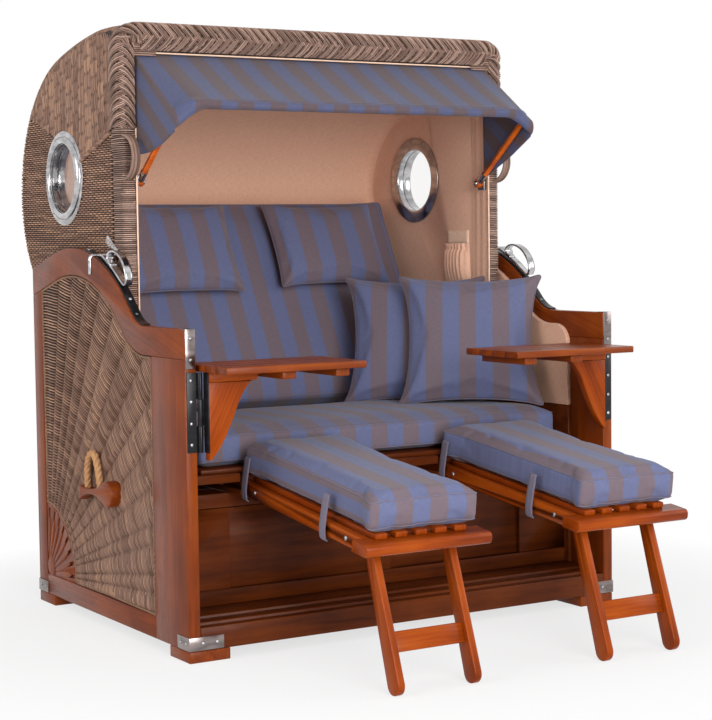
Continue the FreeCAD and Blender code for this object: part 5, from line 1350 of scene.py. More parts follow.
@dataclass
class HoodWeave:
    """Woven hood: sides, roof and back."""

    half: float = 631.0
    bend: float = 18.0
    front_bend: float = 58.0
    front_run: float = 120.0
    front: float = 540.0
    pitch: float = 5.7
    open_pitch: float = 6.2
    stake: float = 32.0
    foot: float = 603.0
    rear: float = 1262.0
    plain_rows: int = 142
    upright_rows: int = 126
    crown_rows: int = 98
    band: float = 46.0
    patches: int = 40
    porthole: tuple = (*PORTHOLE, 122.0)
    ridge: tuple = (742.0, 1318.0, 583.0, 1371.0)

    def __post_init__(self) -> None:
        """Keep the outlines of the woven shell and of the lining."""
        self.outline = ShellOutline()
        self.inner = HoodOutline()

    def bend_at(self, length: np.ndarray) -> np.ndarray:
        """Radius between roof and side, which grows towards the rounder plait in front."""
        return self.bend + (self.front_bend - self.bend) * np.clip(1 - length / self.front_run, 0, 1) ** 2

    def onto_shell(self, flat: np.ndarray) -> np.ndarray:
        """Bend from width and length over the crown onto the shell."""
        across, length, lift = flat.T
        spot, out = self.outline.at(length)
        bend, straight = self.bend_at(length), self.half - self.bend
        over = np.maximum(np.abs(across) - straight, 0) / self.bend
        level = np.minimum(np.abs(across), straight) * (self.half - bend) / straight
        x = np.sign(across) * (level + (bend + lift) * np.sin(over))
        drop = bend - (bend + lift) * np.cos(over)
        yz = spot - out * drop[:, None]
        return np.column_stack([x, yz])

    def onto_side(self, sign: int) -> Mapping:
        """Lay the flat drawing of depth and height on one side."""
        def bend(flat: np.ndarray) -> np.ndarray:
            return np.column_stack([sign * (self.half + 0.5 + flat[:, 2]), flat[:, 0], flat[:, 1]])
        return bend

    def shell(self, start: float, end: float, first: int) -> Strands:
        """Strands across the roof or back."""
        laid = Strands(self.pitch * 0.86, 2.8)
        edge = self.half - self.bend + self.bend * np.linspace(0, math.pi / 2, 5)
        across = np.concatenate([-edge[::-1], np.arange(-37, 38) * (self.stake / 2), edge])
        for row in range(int((end - start) / self.pitch)):
            length = start + self.pitch * (row + 0.5)
            lift = 0.6 + 1.5 * np.cos(np.pi * (across / self.stake + row + first))
            path = np.stack([across, np.full(len(across), length), lift], 1)
            laid.lay(path, row + first, 0.12 * math.sin(0.21 * (row + first)))
        return laid

    def ridge_height(self, depth: np.ndarray) -> np.ndarray:
        """Height of the ridge that parts the two weaves of a side."""
        y0, z0, y1, z1 = self.ridge
        return np.where(depth < y0, z0 + (y0 - depth) * (z1 - z0) / (y0 - y1), z0 + 0.35 * (depth - y0))

    def plain_side(self) -> Strands:
        """Plain open weave of horizontal strands below the ridge."""
        laid = Strands(self.open_pitch * 0.8, 3.2)
        depth = np.arange(self.front + 2, self.rear, 5.0)
        for row in range(self.plain_rows):
            height = self.foot + self.open_pitch * (row + 0.5)
            over = np.cos(np.pi * ((depth - self.front) / 15 + row))
            path = np.stack([depth, np.full(len(depth), height), 0.6 + 2.6 * over], 1)
            keep = self.clear(path) & (height < self.ridge_height(depth) - 6)
            # Painted light and shade: each strand is lightened where it rides over and painted dark where it
            # dips under.
            laid.lay_runs(path, keep, row, np.where(over > -0.2, 0.15 + 0.15 * over, -1.1))
        return laid

    def clear(self, path: np.ndarray) -> np.ndarray:
        """Whether points are on the side's flat and clear of the porthole."""
        y, z, size = self.porthole
        away = np.hypot(path[:, 0] - y, path[:, 1] - z) > size
        rounder = 0.5 * (self.bend_at(path[:, 0] - self.front) - self.bend)
        lower = path[:, :2] + np.stack([0 * path[:, 0], rounder], 1)
        return away & self.outline.inside(lower, self.bend * 0.75)

    def upright_side(self) -> Strands:
        """Upright strands in chequered patches above the ridge."""
        laid = Strands(self.pitch * 0.8, 2.8)
        rng = np.random.default_rng(11)
        shades = rng.choice((-0.3, -0.12, 0.0, 0.12, 0.22), (self.patches, self.patches))
        for column in range(self.upright_rows):
            depth = self.front + 3 + self.pitch * (column + 0.5)
            height = np.arange(1150, 1690, 7.0)
            band = (height + 0.18 * (depth - self.front)) / self.band
            block = column // 8
            step = band + 0.5 * (block % 2)
            wave = np.abs(np.sin(np.pi * step)) ** 0.6
            path = np.stack([np.full(len(height), depth), height, 3.4 * wave - 0.8], 1)
            # Painted shade: strands are darkened where they dip under at the band edges; the cell shades are
            # random tones.
            shade = shades[block % self.patches, step.astype(int) % self.patches] - 0.7 * (wave < 0.45)
            low = self.ridge_height(np.full(len(height), depth)) + (4 if depth < self.ridge[0] else -9)
            keep = self.clear(path) & (height > low)
            laid.lay_runs(path, keep, column, shade)
        return laid

    def ground(self) -> bpy.types.Object:
        """Painted shade: a dark shell under the strands that stands for the shade seen between them, with a
        margin down each side.
        """
        bm = bmesh.new()
        reach = self.half - self.bend + self.bend * math.pi / 2
        steps = 120
        spots = {}
        for vert in bmesh.ops.create_grid(bm, x_segments=80, y_segments=steps, size=1)["verts"]:
            share = (vert.co.y + 1) / 2
            flat = np.array([[vert.co.x * reach, share * self.outline.length[-1], -2.0]])
            spots[vert] = self.onto_shell(flat)[0]
        for sign in (-1, 1):
            for vert in bmesh.ops.create_grid(bm, x_segments=1, y_segments=steps, size=1)["verts"]:
                share = np.array([(vert.co.y + 1) / 2])
                line, inset = (self.outline, self.bend * 0.8) if vert.co.x > 0 else (self.inner, 64.0)
                spot, out = line.at(share * line.length[-1])
                spots[vert] = (sign * (self.half - 0.6), *(spot - out * inset)[0])
        for vert, spot in spots.items():
            vert.co = Vector(place(spot))
        return new_object("hood_shade_shell", close_bmesh(bm, "hood_shade_shell"), WEAVE_SHADE)

    def build(self) -> None:
        """All strands of the hood."""
        mount(self.ground(), Body.HOOD.value, Slot.WICKER)
        total = float(self.outline.length[-1])
        crown = 2.0 + self.crown_rows * self.pitch
        for name, start, end, first in (("roof_weave", 2.0, crown, 0),
                                        ("back_weave", crown, total - 2, self.crown_rows - 1)):
            piece = new_object(name, self.shell(start, end, first).mesh(self.onto_shell), WICKER)
            mount(piece, Body.HOOD.value, Slot.WICKER)
        for side, sign in SIDES:
            for kind, strands in (("plain", self.plain_side()), ("upright", self.upright_side())):
                mesh = strands.mesh(self.onto_side(sign), flip=sign < 0)
                mount(new_object(f"{side}_{kind}_weave", mesh, WICKER), Body.HOOD.value, Slot.WICKER)
            mount(self.roll(side, sign), Body.HOOD.value, Slot.WICKER)

    def roll(self, side: str, sign: int) -> bpy.types.Object:
        """Rolled bundle along the ridge between the two weaves."""
        y0, z0, y1, z1 = self.ridge
        route = even([(sign * 636, y1 - 40, z1 + 13), (sign * 636, y0 + 20, z0 - 7)], 4)
        return tubes(f"{side}_ridge_roll", helix(place(route), 4, 3.4 * MM, 46 * MM), 3.0 * MM, WICKER, 1)


@dataclass
class Plait:
    """Plaited edge over the hood's front, wound bindings below it and grab loops."""

    width: float = 74.0
    strand: float = 5.6
    group: float = 26.0
    spacing: float = 5.4
    relief: float = 7.5
    run: float = 68.0
    half: float = 623.0
    low: float = 1388.0
    shoulder: float = 1618.0
    corner: float = 46.0
    bind_low: float = 602.0
    bind_high: float = 1392.0
    crossing: float = 1312.0
    grab_x: float = 621.0
    grab_middle: tuple = (478.0, 1309.0)
    grab_reach: tuple = (63.0, 60.0)
    front: float = 475.0
    edge_radius: float = 14.0
    outer_stretch: float = 1.75
    inner_stretch: float = 0.9
    shifts: tuple = (-6.0, 24.0)

    def __post_init__(self) -> None:
        """Lay out the line along which the front face starts to round."""
        turn = np.radians(np.linspace(0, 90, 12))
        centre = self.corner - self.half
        left = [(-self.half, self.low), (-self.half, self.shoulder)]
        round_left = [(centre - self.corner * math.cos(a), self.shoulder + self.corner * math.sin(a))
                      for a in turn[1:]]
        half = np.array(left + round_left)
        self.line = np.vstack([half, half[::-1] * (-1, 1)])
        self.length = lengths_along(self.line)
        ahead = np.gradient(self.line, axis=0)
        self.out = unit(np.stack([-ahead[:, 1], ahead[:, 0]], 1))

    def onto(self, flat: np.ndarray) -> np.ndarray:
        """Bend from length and width of the plait onto the hood's front edge."""
        length, across, lift = flat.T
        base = rows_at(length, self.length, self.line)
        out = unit(rows_at(length, self.length, self.out))
        stretch = np.where(across > 0, self.outer_stretch, self.inner_stretch)
        shift = np.interp(out[:, 1], (0.0, 1.0), self.shifts)
        reach = across * (stretch + (1 - stretch) * out[:, 1]) - shift
        radius = self.edge_radius
        turn = np.clip(reach / radius, 0, math.pi / 2)
        back = np.maximum(reach - radius * math.pi / 2, 0)
        side = np.minimum(reach, 0) + (radius + lift) * np.sin(turn)
        depth = self.front + radius - (radius + lift) * np.cos(turn) + back
        spot = base + out * side[:, None]
        return np.column_stack([spot[:, 0], depth, spot[:, 1]])

    def strands(self) -> Strands:
        """Opposing groups of four strands that cross at the middle, and strands along the outer edge."""
        laid = Strands(self.strand * 0.72, 3.6)
        total = float(self.length[-1])
        half = self.width / 2
        number = 0
        for side in (-1, 1):
            count = int((total + self.run) / self.group)
            for step in range(count):
                start = step * self.group - self.run + (self.group / 2 if side > 0 else 0)
                for strand in range(4):
                    share = np.linspace(0, 1, 14)
                    along = start + strand * self.spacing + self.run * (share ** 1.2)
                    curve = np.cos(np.pi * (0.12 + 0.62 * share))
                    across = side * (half * curve / math.cos(np.pi * 0.12))
                    high = 1.0 + self.relief * np.sin(np.pi * np.minimum(share / 0.78, 1))
                    lift = high - 14 * np.maximum(share - 0.78, 0) + (1.4 if strand in (1, 2) else 0)
                    path = np.stack([along, across, lift], 1)
                    inside = (along > 0) & (along < total)
                    laid.lay_runs(path, inside, number, np.full(14, (-0.2, 0.25, 0.1, -0.1)[strand]))
                    number += 1
        for row in range(9):
            along = np.linspace(226, total - 226, 110)
            lift = 0.8 + 0.5 * np.cos(np.pi * (np.arange(110) + row))
            up = np.interp(along, self.length, self.out[:, 1])
            stretch = self.outer_stretch - (self.outer_stretch - 1) * up
            across = (17 + 6.2 * row + np.interp(up, (0, 1), self.shifts)) / stretch
            laid.lay(np.stack([along, across, lift], 1), number + row, 0.0)
        return laid

    def corner_fill(self) -> Strands:
        """Short level strands in the inner corners where the plait turns."""
        laid = Strands(self.strand, 3.0)
        for sign in (-1, 1):
            for row in range(9):
                x = np.linspace(528, 612, 9)
                lift = 0.6 + 0.9 * np.cos(np.pi * (np.arange(9) + row))
                laid.lay(np.stack([sign * x, np.full(9, 1590 + 5.6 * row), lift], 1), 900 + row, -0.1)
        return laid

    def onto_front(self, flat: np.ndarray) -> np.ndarray:
        """Lay width and height on the front face."""
        return np.column_stack([flat[:, 0], 474.6 - flat[:, 2], flat[:, 1]])

    def build(self) -> None:
        """Plait, bindings, loops and light edge lines."""
        piece = new_object("edge_plait", self.strands().mesh(self.onto), BRAID)
        mount(piece, Body.HOOD.value, Slot.BRAID)
        corners = new_object("corner_strands", self.corner_fill().mesh(self.onto_front), BRAID)
        mount(corners, Body.HOOD.value, Slot.BRAID)
        for side, sign in SIDES:
            mesh = self.wraps().mesh(self.round_binding(sign), flip=sign > 0)
            mount(new_object(f"{side}_binding_wraps", mesh, BRAID), Body.HOOD.value, Slot.BRAID)
        mount(self.grab_loops(), Body.HOOD.value, Slot.BRAID, "grab_loops")
        mount(self.edge_lines(), Body.HOOD.value, Slot.LINING)

    def wraps(self) -> Strands:
        """Strands wound round the binding, crossing near its top."""
        laid = Strands(self.strand * 0.86, 3.0)
        perimeter = np.concatenate([np.linspace(0, 53, 5), np.linspace(57.7, 71.8, 4), np.linspace(77, 84, 2),
                                    np.linspace(88, 98, 3)])
        for row in range(int((self.bind_high - self.bind_low) / self.strand)):
            height = self.bind_low + self.strand * (row + 0.5)
            lift = np.full(len(perimeter), 1.0 + 0.5 * (row % 2))
            slope = 0.0
            if height > self.crossing:
                share = (height - self.crossing) / (self.bind_high - self.crossing)
                slope = 3.0 * math.sin(0.9 * row)
                lift = lift + 4.5 * math.sin(math.pi * share)
            path = np.stack([perimeter, height + slope * (perimeter / 98 - 0.5), lift], 1)
            path[:, 1] = np.clip(path[:, 1], self.bind_low - 1, self.bind_high + 4)
            laid.lay(path, row, 0.28 if height < 1290 else 0.05)
        return laid

    def round_binding(self, sign: int) -> Mapping:
        """Bend the flat wraps round one binding's three faces."""
        def bend(flat: np.ndarray) -> np.ndarray:
            run, height, lift = flat.T
            radius, quarter = 12.0, 6 * math.pi
            first = np.clip((run - 53) / radius, 0, math.pi / 2)
            second = np.clip((run - 53 - quarter - 12) / radius, 0, math.pi / 2)
            straight = np.clip(run - 53 - quarter, 0, 12)
            back = np.maximum(run - 65 - 2 * quarter, 0)
            ahead = np.minimum(run, 53)
            turn = first + second
            reach = radius + lift
            x = np.where(straight >= 12, 607.0, 619.0 - straight) + reach * np.cos(turn)
            y = 540 - ahead + back - reach * np.sin(turn)
            return np.column_stack([sign * x, y, height])
        return bend

    def grab_loops(self) -> bpy.types.Object:
        """Three strands side by side bent out of each binding."""
        paths = []
        turn = np.radians(np.linspace(-90, 90, 24))
        for sign in (-1, 1):
            for shift in (-8.5, 0, 8.5):
                y = self.grab_middle[0] - self.grab_reach[0] * np.cos(turn)
                z = self.grab_middle[1] + self.grab_reach[1] * np.sin(turn)
                paths.append(place(np.column_stack([np.full(24, sign * (self.grab_x + shift)), y, z])))
        return tubes("grab_loop_strands", paths, 4.6 * MM, BRAID, 2)

    def edge_lines(self) -> bpy.types.Object:
        """Light piping along the hood's inner front edge."""
        paths = [place(even([(sign * 593.5, 474, 602), (sign * 593.5, 474, 1390)], 20)) for sign in (-1, 1)]
        paths.append(place(even([(-590, 480, 1597), (590, 480, 1597)], 20)))
        return tubes("hood_edge_piping", paths, 2.5 * MM, PIPING, 2)


@dataclass
class Lining:
    """Peach cloth inside the hood with a piped seam, and the gathered wall pocket."""

    inner: float = 595.5
    inset: float = 36.0

    def build(self) -> None:
        """Lining, seam, pocket and cheeks."""
        lining = rounded_copy("hood_lining", 0.4, LINING, Slot.LINING, 1)
        points = points_of(lining.data)
        lay_cloth(lining.data, points[:, 0] + points[:, 1], points[:, 2])
        mount(self.seams(), Body.HOOD.value, Slot.LINING)
        mount(self.flaps(), Body.HOOD.value, Slot.LINING)
        mount(self.label(), Body.HOOD.value, Slot.LINING)
        mount(self.pocket(), Body.HOOD.value, Slot.LINING, "wall_pocket")
        cheeks = rounded_copy("cheek_pads", 4.0, CHEEK_CLOTH, Slot.LINING, 3)
        points = points_of(cheeks.data)
        lay_cloth(cheeks.data, points[:, 1], points[:, 2])

    def seams(self) -> bpy.types.Object:
        """Thin double seam where the walls meet roof and back."""
        outline = HoodOutline()
        length = np.linspace(10, float(outline.length[-1]) - 200, 160)
        paths = []
        for inset in (self.inset, self.inset + 14):
            spot, out = outline.at(length)
            yz = spot - out * inset
            for sign in (-1, 1):
                paths.append(place(np.column_stack([np.full(len(yz), sign * self.inner), yz])))
        return tubes("lining_seams", paths, 1.3 * MM, PIPING, 1)

    def flaps(self) -> bpy.types.Object:
        """Lining drawn over the inner face of the front edge in light pleats."""
        bm = bmesh.new()
        fields = {}
        for sign in (-1, 1):
            for vert in bmesh.ops.create_grid(bm, x_segments=54, y_segments=30, size=1)["verts"]:
                across, up = (vert.co.x + 1) / 2, (vert.co.y + 1) / 2
                y, z = 475.5 + 88 * across, 603 + 993 * up
                free = min(1, 6 * across, 4 * (1 - across))
                pleat = 0.8 * math.sin(17 * across + 2.2 * math.sin(2.3 * up)) * free
                fields[vert] = (y * MM, z * MM, 0.0)
                vert.co = Vector(place((sign * (593.4 + 1.4 * across - max(pleat, -0.6)), y, z)))
        bm.verts.index_update()
        rows = np.array([fields[vert] for vert in bm.verts])
        mesh = close_bmesh(bm, "lining_front_flaps", 70)
        vectors(mesh, "cloth", rows)
        piece = new_object("lining_front_flaps", mesh, LINING)
        return piece

    def label(self) -> bpy.types.Object:
        """Bare woven patch above the pocket."""
        route = place([(594.6, y, 1077) for y in np.linspace(584, 706, 9)])
        return ribbon("pocket_patch", route, (0, 0, 1), 0.044, 0.0016, PIPING)

    def pocket(self) -> bpy.types.Object:
        """Pouch gathered by an elastic along its top."""
        bm = bmesh.new()
        bmesh.ops.create_grid(bm, x_segments=44, y_segments=26, size=1)
        fields = []
        for vert in bm.verts:
            u, v = vert.co.x, (vert.co.y + 1) / 2
            fields.append((u * 0.09, v * 0.135, 0.0))
            belly = (1 - u ** 4) * (8 + 20 * math.sin(math.pi * min(1, 0.12 + 0.88 * (1 - v))) ** 0.8)
            gather = 3.6 * math.sin(8.5 * math.pi * u + v) * (0.2 + 0.8 * v ** 1.4) * (1 - u ** 6)
            ruff = 5.0 * math.exp(-((v - 0.88) / 0.04) ** 2)
            spot = (596.0 - max(belly + gather - ruff, 0.6), 648 + 74 * u * (1 - 0.1 * v), 918 + 140 * v)
            vert.co = Vector(place(spot))
        mesh = close_bmesh(bm, "wall_pouch", 70)
        vectors(mesh, "cloth", np.array(fields))
        piece = new_object("wall_pouch", mesh, LINING)
        return piece


@dataclass
class Awning:
    """One striped sheet from the hood's edge round the bow, with a wing folded down on each side."""

    half: float = 587.0
    flat_half: float = 500.0
    top: tuple = (500.0, 1600.0)
    bow: tuple = (241.0, 1441.0)
    bow_half: float = BOW_HALF
    bow_length: float = 326.0
    bow_corner: float = 48.0
    pivot: tuple = BOW_PIVOT
    reach: float = 12.6
    rear: float = 487.0
    tip: float = 238.0
    folds: tuple = (1404.0, 1420.0)
    lows: tuple = ((1316.0, 1372.0, 16.0), (1258.0, 1379.0, 6.0))
    sag: float = 6.0
    first_blue: float = 20.0
    columns: int = 96
    rows: int = 26
    steps: int = 9

    def __post_init__(self) -> None:
        """Slope of the sheet and of the bow's arms."""
        self.fall = math.atan2(self.top[1] - self.bow[1], self.top[0] - self.bow[0])
        self.rise = math.atan2(self.bow[1] - self.pivot[1], self.pivot[0] - self.bow[0])

    def build(self) -> None:
        """Sheet wrapped round the bow, its thickness and stitching."""
        bm = bmesh.new()
        bmesh.ops.create_grid(bm, x_segments=self.columns, y_segments=self.rows, size=1)
        rear = [edge for edge in bm.edges if edge.is_boundary and all(v.co.y > 0.999 for v in edge.verts)]
        rim = [edge for edge in bm.edges if edge.is_boundary and edge not in rear]
        flat = {vert: (vert.co.x, vert.co.y, 0.0) for vert in bm.verts}
        for step in range(1, self.steps + 1):
            made = bmesh.ops.extrude_edge_only(bm, edges=rim)["geom"]
            fresh = {item for item in made if isinstance(item, bmesh.types.BMVert)}
            rim = [item for item in made if isinstance(item, bmesh.types.BMEdge)]
            for vert in fresh:
                base = next(e.other_vert(vert) for e in vert.link_edges if e.other_vert(vert) not in fresh)
                flat[vert] = (*flat[base][:2], step / self.steps)
        for vert in bm.verts:
            vert.co = self.hang(*flat[vert])
        bm.verts.index_update()
        fields = np.array([flat[vert] for vert in bm.verts])
        bmesh.ops.recalc_face_normals(bm, faces=bm.faces[:])
        mesh = close_bmesh(bm, "awning_sheet", 50)
        under = (fields[:, 2] > 0.55) & (np.abs(fields[:, 0]) * self.half < self.bow_half - self.bow_corner)
        points = self.clear_bow(points_of(mesh), (fields[:, 1] < 0.4) & ~under)
        self.lay_stripes(mesh, points, fields)
        move_points(mesh, place(points))
        self.mount_sheet(new_object("awning_sheet", mesh, SHADED_AWNING_CLOTH))
        line = np.array([self.roof(u, -0.93) + Vector((0, 0, 1.2)) for u in np.linspace(-0.86, 0.86, 80)])
        stitching = tubes("awning_stitching", [place(line)], 0.0011, STRAP_CLOTH, 1)
        mount(stitching, Body.AWNING.value, Slot.STRIPED)

    def mount_sheet(self, sheet: bpy.types.Object) -> None:
        thicken(sheet, 0.0024, -1)
        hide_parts("awning_cloth")
        tuple(place((0, 490, 1590)))
        tuple(place((0, 252, 1448)))
        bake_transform(sheet)
        LOG.info("awning_sheet between hood and awning for awning_cloth")

    def roof(self, across: float, back: float) -> Vector:
        """A point of the sloping part.

        Args:
            across: From minus one to one over the width.
            back: From minus one at the bow to one at the hood.

        Returns:
            The point in drawing millimetres.
        """
        share = (1 - back) / 2
        out = self.beyond(across)
        crest = [self.bow[0] - self.reach * math.sin(self.fall),
                 self.bow[1] + self.reach * math.cos(self.fall)]
        crest[0] += 4 * out
        crest[1] += (self.folds[int(across > 0)] - crest[1]) * out ** 1.6
        swing = math.sin(math.pi * share)
        ripple = 1.4 * math.sin(9 * across + 5 * share) * swing * (1 - across ** 8)
        dip = self.sag * swing * (1 - across ** 6) - ripple
        y, z = (a + (b - a) * share for a, b in zip(self.top, crest))
        return Vector((across * self.half, y, z - dip))

    def beyond(self, across: float) -> float:
        """Share of the way from the bow's straight part to the sheet's side."""
        return max(abs(across) * self.half - self.flat_half, 0.0) / (self.half - self.flat_half)

    def hang(self, across: float, back: float, down: float) -> Vector:
        """A point of the roof, of the hem round the bow or of a wing.

        Args:
            across: From minus one to one over the width.
            back: From minus one at the bow to one at the hood.
            down: From zero at the fold to one at the lower edge.

        Returns:
            The point in drawing millimetres.
        """
        start = self.roof(across, back)
        if down == 0:
            return start
        low, tip, belly = self.lows[int(across > 0)]
        if back < -0.999:
            out, under = self.beyond(across), self.bow[1] - self.reach
            turn = math.pi / 2 + self.fall + (math.pi - self.fall) * down
            crest = self.bow[1] + self.reach * math.cos(self.fall)
            lift = (start.z - crest) * (1 - down) + (tip - under) * out ** 1.3 * down
            return Vector((start.x, self.bow[0] + 4 * out + self.reach * math.cos(turn),
                           self.bow[1] + self.reach * math.sin(turn) + lift))
        sign, share = math.copysign(1, across), (1 - back) / 2
        side = sign * self.half
        end = Vector((side, self.rear, low)).lerp(Vector((side, self.tip, tip)), share)
        end.z -= belly * math.sin(math.pi * share)
        spot = start.lerp(end, down)
        bulge = sign * 4 * math.sin(math.pi * down) * (1 - share)
        ripple = sign * 1.5 * math.sin(14 * share) * down * (1 - share)
        spot.x += bulge + ripple
        return spot

    def bow_line(self) -> tuple[np.ndarray, np.ndarray]:
        """Points along the bow's right half and the outward direction at each."""
        ahead, side = np.array((0, -math.cos(self.rise), math.sin(self.rise))), np.array((1.0, 0, 0))
        straight = self.bow_length - self.bow_corner
        arm_steps, bar_steps = 70, 24
        turn = np.linspace(0, math.pi / 2, bar_steps)[:, None]
        foot = np.array((self.bow_half, *self.pivot))
        arm = foot + np.linspace(40, straight, arm_steps)[:, None] * ahead
        bend = foot + straight * ahead + self.bow_corner * (np.sin(turn) * ahead + (np.cos(turn) - 1) * side)
        bar = bend[-1] - np.linspace(2, 90, bar_steps)[:, None] * side
        outs = [np.repeat(side[None], arm_steps, 0), np.cos(turn) * side + np.sin(turn) * ahead,
                np.repeat(ahead[None], bar_steps, 0)]
        return np.vstack([arm, bend, bar]), np.vstack(outs)

    def clear_bow(self, points: np.ndarray, front: np.ndarray) -> np.ndarray:
        """Push the cloth in front out past the bow's corners."""
        line, outs = self.bow_line()
        for sign in (-1, 1):
            own = np.flatnonzero(front & (points[:, 0] * sign > 440))
            away = points[own, None] - (line * (sign, 1, 1))[None]
            near = np.linalg.norm(away, axis=2).argmin(1)
            out = (outs * (sign, 1, 1))[near]
            gap = away[np.arange(len(own)), near]
            depth = (gap * out).sum(1)
            beside = np.linalg.norm(gap - depth[:, None] * out, axis=1)
            need = np.sqrt(np.maximum((self.reach + 2) ** 2 - beside ** 2, 0))
            push = np.where((beside < self.reach + 2) & (depth < need) & (depth > -45), need - depth, 0)
            points[own] += push[:, None] * out
        return points

    def lay_stripes(self, mesh: bpy.types.Mesh, points: np.ndarray, fields: np.ndarray) -> None:
        """Stripes from hood to hem, shifted on the hem and along the fold on the wings."""
        flat = np.zeros((len(mesh.loops), 3))
        folds = np.array([self.roof(*row[:2]) for row in fields])
        drop = np.linalg.norm(points - folds, axis=1)
        for face in mesh.polygons:
            own = list(face.vertices)
            hung = fields[own, 2].max() > 0
            wing = hung and np.abs(fields[own, 0]).min() > 0.999
            for loop, vert in zip(face.loop_indices, own):
                if wing:
                    flat[loop] = (drop[vert] + 78, points[vert, 1], 0)
                else:
                    aside = 26 if hung and np.abs(points[own, 0]).max() < 512 else 0
                    flat[loop] = (points[vert, 0] - self.first_blue - aside, points[vert, 1], 0)
        vectors(mesh, "cloth", flat * MM, "CORNER")


class Make(Enum):
    """How a cushion is sewn."""

    BOXED = "boxed"
    KNIFE = "knife edge"


class Boxing(Enum):
    """How the stripes run on a boxed cushion's sides."""

    BANDS = "bands"
    BLUE = "blue"
    ACROSS = "across"


